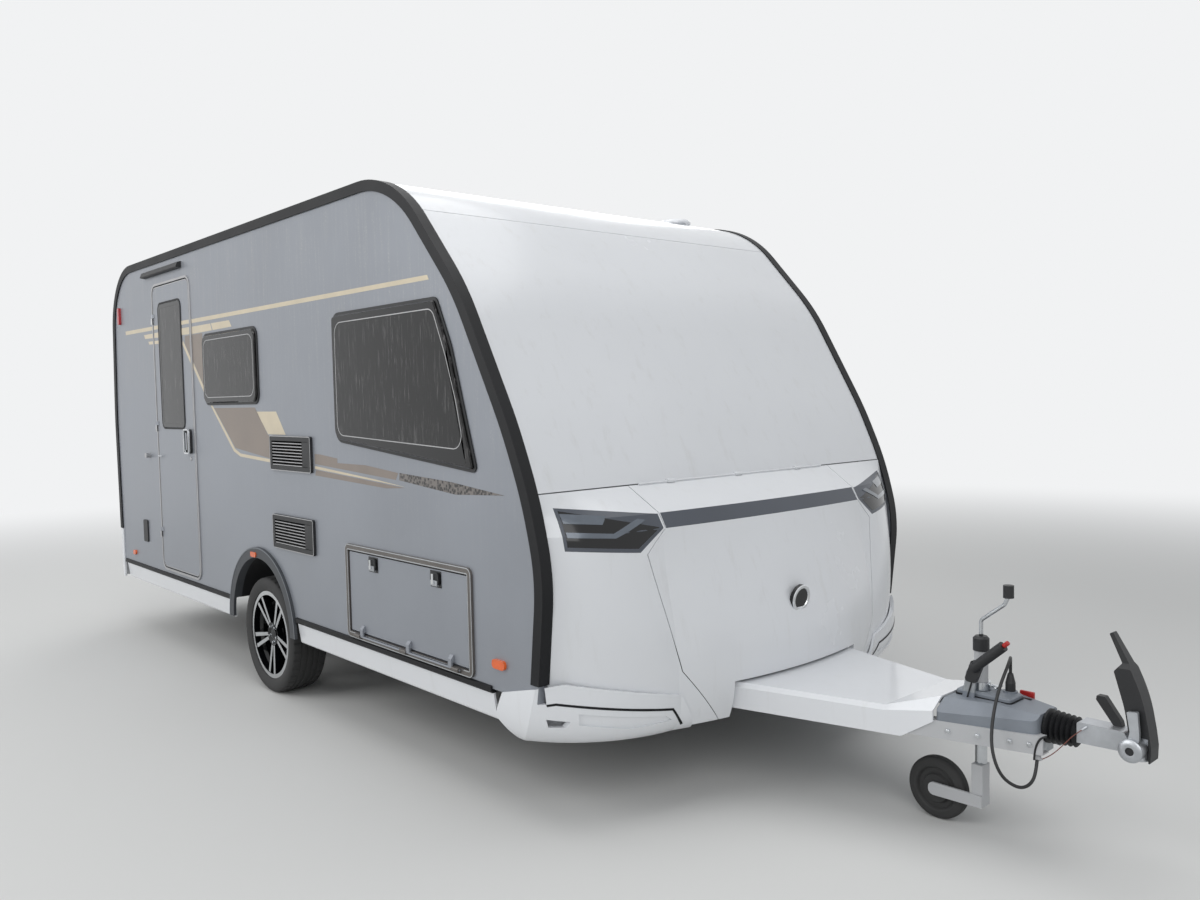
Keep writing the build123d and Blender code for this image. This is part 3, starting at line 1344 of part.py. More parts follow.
def wall_fittings():
    """Fixed socket flap and filler cap, and the catch that holds the open entrance door."""
    socket = prism(rounded((-1964, -1880, 655, 805), 10), "y", WALL_Y, WALL_Y + 9)
    filler = prism(rounded((-1560, -1420, 640, 780), 20), "y", WALL_Y, WALL_Y + 12)
    catch = prism(rounded((-1800, -1762, 1240, 1272), 10), "y", WALL_Y, WALL_Y + 30)
    return [mirrored(socket), filler, mirrored(catch)]


def chassis_frame():
    """Longitudinal members, cross members and the brackets of the corner steadies."""
    side = chassis_rail()
    for x, direction in STEADIES.values():
        side += steady_bracket(x, direction)
    frame = side + mirrored(side)
    for member in cross_members():
        frame += member
    return frame


def build():
    """Every node by name, each as a list of solids."""
    nodes = {}
    nodes["floor_panel"] = [floor_panel()]
    box = wheel_box()
    nodes["wheel_boxes"] = [box, mirrored(box)]
    nodes["side_wall_right"] = [side_wall("right")]
    nodes["side_wall_left"] = [side_wall("left")]
    for name, panel in body_panels().items():
        nodes[name] = [panel]
    rail = edge_rail()
    nodes["edge_rails"] = [rail, mirrored(rail)]
    fixed, door, strip, lamps = nose_parts()
    nodes["nose_shell"] = [fixed]
    nodes["gas_door"] = [door]
    nodes["gas_door_trim"] = [strip, gas_lock() - nose_solid(0)]
    nodes["front_lamps"] = lamps
    nodes["locker_box"] = [locker_box()]
    bumper = front_bumper(nose_solid(-0.3))
    nodes["front_bumpers"] = [bumper, mirrored(bumper)]
    nodes["rear_bumper"] = [rear_bumper()]
    nodes["tail_lamps"] = tail_lamps()
    nodes["marker_lamps"] = marker_lamps()
    nodes["awning_lamp"] = [awning_lamp()]
    windows = [
        (True, None, "right"),
        (True, None, "left"),
        (False, SMALL_WINDOW, "right"),
        (False, LEFT_WINDOW, "left"),
    ]
    nodes["window_frames"] = [window_frame(*row) for row in windows]
    nodes["window_panes"] = [window_pane(*row) for row in windows]
    nodes["fridge_vents"] = [fridge_vent(row) for row in VENTS]
    arch = wheel_arch()
    nodes["wheel_arches"] = [arch, mirrored(arch)]
    nodes["side_skirts"] = sill_parts()
    nodes["opening_frames"] = [
        door_frame(), flap_frame(FLAP, "right"), flap_frame(TOILET_FLAP, "left")
    ]
    nodes["wall_fittings"] = wall_fittings()
    nodes["roof_fittings"] = [rooflight_frame(), roof_cowl()]
    nodes["chassis_frame"] = [chassis_frame()]
    beam = drawbar_beam()
    lug = wire_lug(BREAKAWAY_ROUTE[0], BREAKAWAY_ROUTE[1], -12)
    nodes["drawbar_beams"] = [beam, mirrored(beam) + cable_gland() + lug]
    nodes["torsion_axle"] = [torsion_axle()]
    nodes["drawbar_cover"] = [drawbar_cover()]
    nodes["overrun_housing"] = [overrun_housing()]
    nodes["bellows"] = [bellows()]
    nodes["coupling_head"] = [coupling_head()]
    nodes["stabiliser_handle"] = [stabiliser_handle()]
    nodes["coupling_levers"] = coupling_lever()
    nodes["jockey_tube"] = [jockey_outer()]
    nodes["jockey_crank"] = [jockey_crank()]
    nodes["handbrake_lever"] = [handbrake_lever()]
    nodes["furniture"] = furniture()
    nodes["mattress"] = [mattress()]
    nodes["entrance_door"] = [entrance_door()]
    nodes["entrance_door_pane"] = [entrance_door_pane()]
    nodes["storage_flap"] = [flap(FLAP, "right")]
    nodes["toilet_flap"] = [flap(TOILET_FLAP, "left")]
    nodes["rooflight_lid"] = [rooflight_lid()]
    for end, (x, direction) in STEADIES.items():
        for side in ("left", "right"):
            nodes[f"steady_{end}_{side}"] = [sided(steady_leg(x, direction), side)]
    for side in ("left", "right"):
        nodes[f"wheel_{side}_rim"] = [sided(rim(), side)]
        nodes[f"wheel_{side}_tyre"] = [sided(tyre(), side)]
    nodes["jockey_leg"] = [jockey_leg()]
    nodes["jockey_fork"] = [jockey_fork()]
    nodes["jockey_wheel"] = [jockey_wheel()]
    nodes["connection_cable"] = [cord(CABLE_ROUTE, CABLE_R, "connection_cable")]
    nodes["cable_plug"] = [cable_plug()]
    nodes["breakaway_cable"] = [cord(BREAKAWAY_ROUTE, BREAKAWAY_R, "breakaway_cable")]
    return nodes


os.makedirs("parts", exist_ok=True)
model = build()
for node, solids in model.items():
    placed = [Pos(-CENTRE_X, 0, 0) * solid for solid in solids]
    shape = placed[0] if len(placed) == 1 else Compound(children=placed)
    export_step(shape, f"parts/{node}.step")
print(len(model), "nodes")
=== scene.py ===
"""Finishes and fittings of a single-axle travel caravan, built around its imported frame.

Lengths are in millimetres from the wheel axle: x forward, y to the left and z up from the ground.
piece() turns them into the frame's own metres.
"""
import math

import bmesh
import bpy
from mathutils import Matrix, Vector


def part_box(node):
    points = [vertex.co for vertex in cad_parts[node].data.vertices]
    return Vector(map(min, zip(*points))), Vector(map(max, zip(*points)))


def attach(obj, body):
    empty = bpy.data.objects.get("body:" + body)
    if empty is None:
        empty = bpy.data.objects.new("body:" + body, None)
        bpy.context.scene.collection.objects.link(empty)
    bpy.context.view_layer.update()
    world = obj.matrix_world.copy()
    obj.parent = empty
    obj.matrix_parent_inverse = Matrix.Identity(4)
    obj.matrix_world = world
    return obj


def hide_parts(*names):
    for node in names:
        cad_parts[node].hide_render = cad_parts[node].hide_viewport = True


bl_info = {
    "name": "Travel caravan",
    "version": (1, 0, 0),
    "blender": (4, 5, 0),
    "location": "View3D > Sidebar > Caravan",
    "description": "Finishes and fittings of a single-axle travel caravan",
    "category": "Object",
}

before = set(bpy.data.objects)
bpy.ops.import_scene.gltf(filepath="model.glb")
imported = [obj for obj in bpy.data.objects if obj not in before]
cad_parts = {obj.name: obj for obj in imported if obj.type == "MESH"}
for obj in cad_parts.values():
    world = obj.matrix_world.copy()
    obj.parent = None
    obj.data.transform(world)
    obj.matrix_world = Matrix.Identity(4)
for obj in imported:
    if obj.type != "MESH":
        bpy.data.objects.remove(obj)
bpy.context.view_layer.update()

MM = 0.001
RIM_LOW, RIM_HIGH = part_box("wheel_right_rim")
AXLE_X = (RIM_LOW.x + RIM_HIGH.x) / 2
AXLE_Z = (RIM_LOW.z + RIM_HIGH.z) / 2 / MM
TO_FRAME = Matrix.Translation((AXLE_X, 0, 0)) @ Matrix.Scale(MM, 4)
BODY = "caravan_body"
WALL_Y = 1144
RIGHT = -1
LEFT = 1
# Edges sharper than this, in degrees, aren't shaded smooth on CAD nodes
CAD_SHARP = 32


# Places: millimetres from the axle to the frame

def at(x, y, z):
    """A point of the frame, in metres."""
    return TO_FRAME @ Vector((x, y, z))


def span(side, near, far):
    """Low and high y of a layer on one side, between two distances from the middle."""
    return sorted((side * near, side * far))


def linear(code):
    """An sRGB hex colour as linear numbers."""
    parts = [int(code[i:i + 2], 16) / 255 for i in (1, 3, 5)]
    return [c / 12.92 if c <= 0.04045 else ((c + 0.055) / 1.055) ** 2.4 for c in parts]


# What a user would change

def colour(name, description, code):
    """A colour that a user can change."""
    return bpy.props.FloatVectorProperty(
        name=name, description=description, subtype="COLOR", min=0, max=1, default=linear(code))


class CaravanColours(bpy.types.PropertyGroup):
    """Colours of the coatings."""

    wall: colour("Side walls", "Coil-coated sheet of the side walls", "#92969d")
    shell: colour("Front and roof", "White gelcoat of the nose, front, roof and skirts", "#e4e6e9")
    trim: colour("Edge rails", "Rubber and plastic trim", "#0e0f12")
    stripe: colour("Stripes", "Pale gold vinyl film", "#cfc3ab")
    zone: colour("Bronze film", "Darker vinyl film between the stripes", "#8a8078")
    smoke: colour("Windows", "Smoke tint of the acrylic panes", "#1f2226")


class CaravanSizes(bpy.types.PropertyGroup):
    """Sizes of what is added to the frame, in millimetres, and the camera."""

    film: bpy.props.FloatProperty(
        name="Film", description="Thickness of the vinyl films", default=0.4, min=0.1, max=2)
    # Width of the pale ring inside the window print, a painted highlight of the pane's inner bevel
    print_line: bpy.props.FloatProperty(
        name="Window line", description="Width of the pale line inside the window print",
        default=4, min=1, max=12)
    tread: bpy.props.FloatProperty(
        name="Tread", description="Depth of the tyre's grooves", default=7, min=1, max=12)
    tread_steps: bpy.props.IntProperty(
        name="Tread steps", description="Steps round the tyre", default=280, min=48, max=480)
    lens: bpy.props.FloatProperty(
        name="Lens", description="Focal length of the camera in mm", default=29.654, min=10, max=200)


# Materials: every coating is a function that adds its shader to a node tree

def add(tree, kind, inputs=None, stops=None, **settings):
    """Adds a node with its settings, its inputs as values or (node, output), and a ramp's stops."""
    made = tree.nodes.new(kind)
    for key, value in settings.items():
        setattr(made, key, value)
    for key, value in (inputs or {}).items():
        if isinstance(value, tuple) and isinstance(value[0], bpy.types.Node):
            tree.links.new(value[0].outputs[value[1]], made.inputs[key])
        else:
            made.inputs[key].default_value = value
    for i, (place, tone) in enumerate(stops or []):
        spots = made.color_ramp.elements
        spot = spots[i] if i < len(spots) else spots.new(place)
        spot.position = place
        spot.color = tone
    return made


def per(size):
    """Scale of a pattern that repeats every so many millimetres."""
    return 1 / (size * MM)


def shade(tone, factor=1.0):
    """A colour as four numbers, made lighter or darker."""
    return [min(1.0, c * factor) for c in list(tone)[:3]] + [1.0]


def coat(tree, tone, roughness, metallic=0.0, grain=2.0, relief=0.02, patch=350.0, spread=0.07,
         gloss_spread=0.08, **sockets):
    """Shader of one coating. grain and patch are pattern sizes and relief is a height, all in mm."""
    place = add(tree, "ShaderNodeTexCoord")
    fine = add(tree, "ShaderNodeTexNoise", {
        "Vector": (place, "Object"), "Scale": per(grain), "Detail": 3.0})
    broad = add(tree, "ShaderNodeTexNoise", {
        "Vector": (place, "Object"), "Scale": per(patch), "Detail": 5.0, "Roughness": 0.6})
    tint = add(tree, "ShaderNodeValToRGB", {"Fac": (broad, "Fac")}, stops=[
        (0.3, shade(tone, 1 - spread)), (0.7, shade(tone, 1 + spread))])
    gloss = add(tree, "ShaderNodeMapRange", {
        "Value": (broad, "Fac"), "From Min": 0.3, "From Max": 0.7,
        "To Min": max(0.02, roughness - gloss_spread / 2), "To Max": roughness + gloss_spread / 2})
    bump = add(tree, "ShaderNodeBump", {
        "Height": (fine, "Fac"), "Distance": relief * MM, "Strength": 1.0})
    return add(tree, "ShaderNodeBsdfPrincipled", {
        "Base Color": (tint, "Color"), "Roughness": (gloss, "Result"), "Metallic": metallic,
        "Normal": (bump, "Normal"), **sockets})


def streaks(tree, across, along, low, high, most=1.0):
    """Mask of dried run-off: patches drawn out downwards, between two levels of a noise."""
    place = add(tree, "ShaderNodeTexCoord")
    drawn = add(tree, "ShaderNodeMapping", {
        "Vector": (place, "Object"), "Scale": (per(across), per(across), per(along))})
    runs = add(tree, "ShaderNodeTexNoise", {
        "Vector": (drawn, "Vector"), "Scale": 1.0, "Detail": 6.0, "Roughness": 0.65})
    return add(tree, "ShaderNodeMapRange", {
        "Value": (runs, "Fac"), "From Min": low, "From Max": high, "To Min": 0.0, "To Max": most})


def wall_sheet(tree):
    """Coil-coated aluminium sheet, silver grey with fine flake, dew and dried run-off on it.

    The beads of dew are drawn 9 mm apart so that they show, and grow denser up the wall.
    """
    sheet = bpy.context.scene.caravan_colours.wall
    shader = coat(tree, sheet, 0.36, metallic=0.35, grain=1.6, relief=0.01, patch=700, spread=0.05)
    dew = coat(tree, linear("#b9b6b3"), 0.62, grain=5, relief=0.25, patch=60, spread=0.12)
    mask = streaks(tree, 22, 420, 0.5, 0.66)
    place = add(tree, "ShaderNodeTexCoord")
    spots = add(tree, "ShaderNodeTexVoronoi", {
        "Vector": (place, "Object"), "Scale": per(9.09)})
    beads = add(tree, "ShaderNodeMapRange", {
        "Value": (spots, "Distance"), "From Min": 0.42, "From Max": 0.18, "To Min": 0.15,
        "To Max": 1.0})
    parts = add(tree, "ShaderNodeSeparateXYZ", {"Vector": (place, "Object")})
    height = add(tree, "ShaderNodeMapRange", {
        "Value": (parts, "Z"), "From Min": 900 * MM, "From Max": 2450 * MM, "To Min": 0.06,
        "To Max": 0.8})
    both = add(tree, "ShaderNodeMath", {0: (mask, "Result"), 1: (height, "Result")},
               operation="MULTIPLY")
    wet = add(tree, "ShaderNodeMath", {0: (both, "Value"), 1: (beads, "Result")}, operation="MULTIPLY")
    return add(tree, "ShaderNodeMixShader", {0: (wet, "Value"), 1: (shader, "BSDF"), 2: (dew, "BSDF")})


def gelcoat(tree):
    """White GRP gelcoat from a polished mould: smooth, faintly wavy, with a trace of road dirt."""
    white = bpy.context.scene.caravan_colours.shell
    clean = coat(tree, white, 0.24, grain=45, relief=0.05, patch=900, spread=0.02,
                 **{"Coat Weight": 0.35, "Coat Roughness": 0.1})
    dirt = coat(tree, linear("#b4b1aa"), 0.6, grain=3, relief=0.03, patch=80)
    mask = streaks(tree, 60, 500, 0.56, 0.9, most=0.3)
    return add(tree, "ShaderNodeMixShader", {
        0: (mask, "Result"), 1: (clean, "BSDF"), 2: (dirt, "BSDF")})


def rubber_trim(tree):
    """Extruded rubber and grained plastic of the edge rails: black, satin."""
    return coat(tree, bpy.context.scene.caravan_colours.trim, 0.52, grain=1.2, relief=0.03, patch=180,
                spread=0.15, **{"Specular IOR Level": 0.3})


def gloss_black(tree):
    """Black acrylic paint and print, wet-looking."""
    return coat(tree, linear("#0c0d0f"), 0.1, grain=30, relief=0.01, patch=400, spread=0.1,
                gloss_spread=0.04)


def moulded_black(tree):
    """Injection-moulded black ABS with its eroded grain."""
    return coat(tree, linear("#1b1c1e"), 0.5, grain=0.9, relief=0.05, patch=120, spread=0.12)


def moulded_grey(tree):
    """Mid-grey ABS of vents and housings, lightly grained."""
    return coat(tree, linear("#6f7378"), 0.48, grain=1.2, relief=0.05, patch=150, spread=0.08)


def arch_plastic(tree):
    """Through-dyed dark grey polypropylene of the wheel arches, slightly chalked."""
    return coat(tree, linear("#3d4044"), 0.5, grain=1.4, relief=0.05, patch=160, spread=0.1)


def frame_metal(tree):
    """Mill-finished aluminium of the locker frames, gone dull and brownish in the weather."""
    return coat(tree, linear("#6c6865"), 0.44, metallic=0.6, grain=1.5, relief=0.03, patch=120,
                spread=0.1)


def plate_blank(tree):
    """Unstamped number-plate blank in white reflective sheet."""
    return coat(tree, linear("#d9dad6"), 0.35, grain=2, relief=0.02, patch=200, spread=0.03)


def handle_red(tree):
    """Dark red plastic lining inside the coupling's handle."""
    return coat(tree, linear("#5a1512"), 0.45, grain=1.2, relief=0.05, patch=50, spread=0.15)


def dark_grey_paint(tree):
    """Satin dark-grey paint of the strip between the lamps and the lamp surrounds."""
    return coat(tree, linear("#4b5059"), 0.36, grain=4, relief=0.01, patch=300, spread=0.06)


def anodised(tree):
    """Extruded aluminium, clear anodised, drawn in fine lines by the die."""
    return coat(tree, linear("#b3b3b4"), 0.34, metallic=0.85, grain=1.5, relief=0.015, patch=160,
                spread=0.08)


def galvanised(tree):
    """Steel dipped in zinc: dull silver crystals 18 mm across with white bloom."""
    place = add(tree, "ShaderNodeTexCoord")
    shader = coat(tree, linear("#9da1a5"), 0.46, metallic=0.7, grain=3, relief=0.03, patch=90,
                  spread=0.16)
    crystals = add(tree, "ShaderNodeTexVoronoi", {
        "Vector": (place, "Object"), "Scale": per(18.18)})
    bloom = add(tree, "ShaderNodeMapRange", {
        "Value": (crystals, "Color"), "From Min": 0.2, "From Max": 0.9, "To Min": 0.0, "To Max": 0.45})
    dull = coat(tree, linear("#b9bcbe"), 0.62, metallic=0.3, grain=2, relief=0.02, patch=40)
    return add(tree, "ShaderNodeMixShader", {
        0: (bloom, "Result"), 1: (shader, "BSDF"), 2: (dull, "BSDF")})


def cast_silver(tree):
    """Die-cast and zinc-plated coupling parts: bright grey with a sandy skin."""
    return coat(tree, linear("#b6b9bd"), 0.36, metallic=0.8, grain=2.4, relief=0.12, patch=70,
                spread=0.12)


def bright_zinc(tree):
    """Bright zinc-plated rod and bolts."""
    return coat(tree, linear("#c3c6c9"), 0.22, metallic=1.0, grain=1.5, relief=0.02, patch=60,
                spread=0.1)


def chrome(tree):
    """Chrome-plated plastic of the handle and rings."""
    return coat(tree, linear("#d6d8da"), 0.09, metallic=1.0, grain=20, relief=0.01, patch=90,
                spread=0.05)


def powder_grey(tree):
    """Grey powder coat of the overrun housing, chalky from the weather."""
    return coat(tree, linear("#80868e"), 0.5, metallic=0.1, grain=2.2, relief=0.07, patch=140,
                spread=0.09)


def underbody(tree):
    """Bitumen-coated plywood under the floor, dusty from the road."""
    return coat(tree, linear("#3a3a39"), 0.8, grain=6, relief=0.3, patch=240, spread=0.25)


def vinyl_floor(tree):
    """Printed vinyl floor in grey oak, with its pores along the boards."""
    return coat(tree, linear("#8d8377"), 0.5, grain=5, relief=0.05, patch=200, spread=0.15)


def laminate(tree):
    """Paper-foiled lightweight board of the furniture, pale elm.

    Its figure is 25 mm wide and drawn out to a third of a metre.
    """
    place = add(tree, "ShaderNodeTexCoord")
    drawn = add(tree, "ShaderNodeMapping", {
        "Vector": (place, "Object"), "Scale": (per(25), per(25), per(333))})
    figure = add(tree, "ShaderNodeTexNoise", {"Vector": (drawn, "Vector"), "Scale": 1.0, "Detail": 6.0})
    shader = coat(tree, linear("#b59c7c"), 0.45, grain=3, relief=0.03, patch=300)
    tint = add(tree, "ShaderNodeValToRGB", {"Fac": (figure, "Fac")}, stops=[
        (0.35, shade(linear("#a3876a"))), (0.65, shade(linear("#c8b192")))])
    tree.links.new(tint.outputs["Color"], shader.inputs["Base Color"])
    return shader


def tinted_acrylic(tree):
    """Double-skinned smoke acrylic, cast and then bent: clear, dark, with dried run-off outside."""
    smoke = bpy.context.scene.caravan_colours.smoke
    shader = coat(tree, smoke, 0.03, grain=160, relief=0.05, patch=500, spread=0.06, gloss_spread=0.02,
                  **{"Transmission Weight": 1.0, "IOR": 1.49})
    dew = coat(tree, linear("#a3a0a1"), 0.6, grain=4, relief=0.2, patch=60)
    mask = streaks(tree, 14, 150, 0.54, 0.74, most=0.34)
    return add(tree, "ShaderNodeMixShader", {
        0: (mask, "Result"), 1: (shader, "BSDF"), 2: (dew, "BSDF")})


def clear_acrylic(tree):
    """Milky clear acrylic of the rooflight dome."""
    return coat(tree, linear("#dfe4e8"), 0.12, grain=60, relief=0.05, patch=300, spread=0.03,
                **{"Transmission Weight": 0.7, "IOR": 1.49})


def red_lens(tree):
    """Moulded red acrylic lens."""
    return coat(tree, linear("#b3121c"), 0.12, grain=6, relief=0.2, patch=50, spread=0.1,
                **{"Coat Weight": 0.5})


def amber_lens(tree):
    """Moulded amber acrylic lens."""
    return coat(tree, linear("#e0601a"), 0.12, grain=6, relief=0.2, patch=50, spread=0.12,
                **{"Coat Weight": 0.5})


def clear_lens(tree):
    """Clear lens over a bright reflector, seen as ribbed pale silver."""
    return coat(tree, linear("#5d656f"), 0.16, metallic=0.3, grain=5, relief=0.15, patch=60, spread=0.1,
                **{"Coat Weight": 0.6})


def gold_film(tree):
    """Cast vinyl film in pale gold, satin."""
    return coat(tree, bpy.context.scene.caravan_colours.stripe, 0.38, metallic=0.2, grain=1,
                relief=0.01, patch=160, spread=0.07)


def bronze_film(tree):
    """Cast vinyl film in warm grey, satin."""
    return coat(tree, bpy.context.scene.caravan_colours.zone, 0.42, metallic=0.2, grain=1, relief=0.01,
                patch=200, spread=0.08)


def carbon_film(tree):
    """Dark vinyl film printed with a small broken check of about 14 mm."""
    place = add(tree, "ShaderNodeTexCoord")
    check = add(tree, "ShaderNodeTexVoronoi", {"Vector": (place, "Object"), "Scale": per(14.29)},
                distance="CHEBYCHEV")
    shader = coat(tree, linear("#4c4a49"), 0.4, metallic=0.2, grain=1, relief=0.01, patch=60)
    tint = add(tree, "ShaderNodeValToRGB", {"Fac": (check, "Distance")}, stops=[
        (0.25, shade(linear("#3b3a3a"))), (0.55, shade(linear("#7c7773")))])
    tree.links.new(tint.outputs["Color"], shader.inputs["Base Color"])
    return shader


def tyre_rubber(tree):
    """Vulcanised rubber, dull black going brown-grey with dust."""
    return coat(tree, linear("#202021"), 0.72, grain=1.6, relief=0.06, patch=90, spread=0.28)


def machined_alloy(tree):
    """Diamond-turned aluminium face under clear lacquer."""
    return coat(tree, linear("#c9cbcd"), 0.2, metallic=1.0, grain=1.2, relief=0.015, patch=60,
                spread=0.06, **{"Coat Weight": 0.5})


def cord_sheath(tree):
    """Extruded PVC sheath, black and slightly waxy."""
    return coat(tree, linear("#141517"), 0.46, grain=2, relief=0.05, patch=40, spread=0.15)


def red_button(tree):
    """Moulded red plastic of the buttons, faded a little."""
    return coat(tree, linear("#b0231f"), 0.38, grain=1.5, relief=0.03, patch=30, spread=0.12)


def wire_core(tree):
    """Steel wire in a brown-red plastic skin."""
    return coat(tree, linear("#6e3a30"), 0.45, grain=1, relief=0.05, patch=20, spread=0.2)


def ticking(tree):
    """Woven mattress ticking, off-white, its threads drawn 3 mm apart so that they show."""
    place = add(tree, "ShaderNodeTexCoord")
    # Bands of a wave pattern at scale 1 are a tenth of pi apart
    weave = add(tree, "ShaderNodeTexWave", {
        "Vector": (place, "Object"), "Scale": math.pi / 10 * per(3)}, bands_direction="X")
    shader = coat(tree, linear("#c9c4ba"), 0.85, grain=3, relief=0.3, patch=250, spread=0.08,
                  **{"Sheen Weight": 0.3})
    bump = add(tree, "ShaderNodeBump", {"Height": (weave, "Fac"), "Distance": 0.4 * MM})
    tree.links.new(bump.outputs["Normal"], shader.inputs["Normal"])
    return shader


def upholstery(tree):
    """Flat-woven seat cloth in dark taupe."""
    return coat(tree, linear("#5d554f"), 0.9, grain=2.5, relief=0.35, patch=120, spread=0.16,
                **{"Sheen Weight": 0.4})


def within(tree, low, high):
    """Mask of a box given by two corners in millimetres from the axle."""
    lowest, highest = at(*low), at(*high)
    place = add(tree, "ShaderNodeTexCoord")
    offset = add(tree, "ShaderNodeVectorMath", {0: (place, "Object"), 1: (lowest + highest) / 2},
                 operation="SUBTRACT")
    reach = add(tree, "ShaderNodeVectorMath", {0: (offset, "Vector")}, operation="ABSOLUTE")
    room = add(tree, "ShaderNodeVectorMath", {0: (highest - lowest) / 2, 1: (reach, "Vector")},
               operation="SUBTRACT")
    parts = add(tree, "ShaderNodeSeparateXYZ", {"Vector": (room, "Vector")})
    least = add(tree, "ShaderNodeMath", {0: (parts, "X"), 1: (parts, "Y")}, operation="MINIMUM")
    least = add(tree, "ShaderNodeMath", {0: (least, "Value"), 1: (parts, "Z")}, operation="MINIMUM")
    return add(tree, "ShaderNodeMath", {0: (least, "Value"), 1: 0.0}, operation="GREATER_THAN")


def output_of(node):
    """The shader output of a node, whatever its name."""
    return "BSDF" if "BSDF" in node.outputs else "Shader"


def finished(recipe, zones=()):
    """The material of a recipe, with other recipes inside boxes: rows of recipe, low, high corner."""
    name = recipe.__name__ + "".join("_" + zone[0].__name__ for zone in zones)
    if not zones and name in bpy.data.materials:
        return bpy.data.materials[name]
    material = bpy.data.materials.new(name)
    material.use_nodes = True
    tree = material.node_tree
    tree.nodes.clear()
    shader = recipe(tree)
    for inner, low, high in zones:
        other = inner(tree)
        mask = within(tree, low, high)
        shader = add(tree, "ShaderNodeMixShader", {
            0: (mask, "Value"), 1: (shader, output_of(shader)), 2: (other, output_of(other))})
    add(tree, "ShaderNodeOutputMaterial", {"Surface": (shader, output_of(shader))})
    return material


def paint(node, recipe, zones=()):
    """Gives a CAD node its material."""
    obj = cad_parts[node]
    obj.data.materials.clear()
    obj.data.materials.append(finished(recipe, zones))
    obj.data.set_sharp_from_angle(angle=math.radians(CAD_SHARP))


def paint_all(plain, zoned):
    """Paints CAD nodes from a table of finish and nodes, and one of node, finish and boxes."""
    for recipe, nodes in plain.items():
        for node in nodes:
            paint(node, recipe)
    for node, (recipe, zones) in zoned.items():
        paint(node, recipe, zones)


# Mesh building, in millimetres from the axle

PLANES = {
    "xz": lambda a, b, h: (a, h, b),
    "yz": lambda a, b, h: (h, a, b),
    "xy": lambda a, b, h: (a, b, h),
}


def rounded(x0, x1, z0, z1, radius, inset=0.0):
    """Outline of a rectangle with round corners, moved inwards."""
    x0, x1, z0, z1 = x0 + inset, x1 - inset, z0 + inset, z1 - inset
    radius = max(radius - inset, 2)
    return round_corners([(x0, z0), (x1, z0), (x1, z1), (x0, z1)], radius)


def round_corners(corners, radius, steps=5):
    """Outline through corners, each bent round with an arc of this radius."""
    points = []
    count = len(corners)
    for i, corner in enumerate(corners):
        here = Vector(corner)
        before = (Vector(corners[i - 1]) - here).normalized()
        after = (Vector(corners[(i + 1) % count]) - here).normalized()
        half = before.angle(after) / 2
        cut = radius / math.tan(half)
        centre = here + (before + after).normalized() * (radius / math.sin(half))
        start, end = here + before * cut - centre, here + after * cut - centre
        turn = start.angle_signed(end)
        for k in range(steps + 1):
            angle = -turn * k / steps
            points.append(tuple(centre + Matrix.Rotation(angle, 2) @ start))
    return points


def moved_in(corners, inset):
    """Corners of a counter-clockwise outline, each side moved inwards."""
    lines = []
    count = len(corners)
    for i in range(count):
        a, b = Vector(corners[i]), Vector(corners[(i + 1) % count])
        along = (b - a).normalized()
        lines.append((a + Vector((-along.y, along.x)) * inset, along))
    points = []
    for i in range(count):
        (p, d), (q, e) = lines[i - 1], lines[i]
        across = d.x * e.y - d.y * e.x
        t = ((q - p).x * e.y - (q - p).y * e.x) / across
        points.append(tuple(p + d * t))
    return points


def bridge(bm, near, far):
    """Adds the faces between two closed rows of points, of which one may be a single point."""
    count = max(len(near), len(far))
    for i in range(count):
        j = (i + 1) % count
        corners = [near[i % len(near)], near[j % len(near)], far[j % len(far)], far[i % len(far)]]
        bm.faces.new(list(dict.fromkeys(corners)))


def prism(bm, points, low, high, plane="xz", edge=0.0):
    """Adds a straight solid over an outline, its rims bevelled by edge."""
    place = PLANES[plane]
    lower, upper = ([bm.verts.new(place(a, b, h)) for a, b in points] for h in (low, high))
    base = bm.faces.new(lower)
    top = bm.faces.new(upper)
    bridge(bm, lower, upper)
    if edge:
        rims = list(base.edges) + list(top.edges)
        bmesh.ops.bevel(bm, geom=rims, offset=edge, segments=2, profile=0.5, affect="EDGES")


def ring(bm, outer, inner, low, high, plane="xz"):
    """Adds a flat ring between two outlines with as many points."""
    place = PLANES[plane]
    rows = ((outer, low), (outer, high), (inner, high), (inner, low))
    loops = [[bm.verts.new(place(a, b, h)) for a, b in points] for points, h in rows]
    for k in range(4):
        bridge(bm, loops[k], loops[(k + 1) % 4])


def band(bm, limits, radius, insets, low, high, plane="xz"):
    """Adds a flat ring between two insets of a rectangle with round corners."""
    outer, inner = (rounded(*limits, radius, inset) for inset in insets)
    ring(bm, outer, inner, low, high, plane)


def block(bm, x0, x1, y0, y1, z0, z1, edge=0.0):
    """Adds a box."""
    prism(bm, [(x0, y0), (x1, y0), (x1, y1), (x0, y1)], z0, z1, "xy", edge)


def lathe(bm, profile, centre, direction, steps=40, closed=False):
    """Adds a turned solid: profile rows are radius and distance along the direction."""
    turn = Vector(direction).to_track_quat("Z", "Y")
    rows = []
    for radius, reach in profile:
        angles = [2 * math.pi * k / steps for k in range(steps)] if radius else [0]
        spots = [Vector((radius * math.cos(a), radius * math.sin(a), reach)) for a in angles]
        rows.append([bm.verts.new(Vector(centre) + turn @ spot) for spot in spots])
    for near, far in zip(rows, rows[1:]):
        bridge(bm, near, far)
    if closed:
        bridge(bm, rows[-1], rows[0])


def rod(bm, start, end, radius, edge=0.0):
    """Adds a round bar between two points."""
    along = Vector(end) - Vector(start)
    length = along.length
    profile = [(0, 0), (radius, 0), (radius, length), (0, length)]
    if edge:
        profile = [(0, 0), (radius - edge, 0), (radius, edge), (radius, length - edge),
                   (radius - edge, length), (0, length)]
    lathe(bm, profile, start, along, 16)


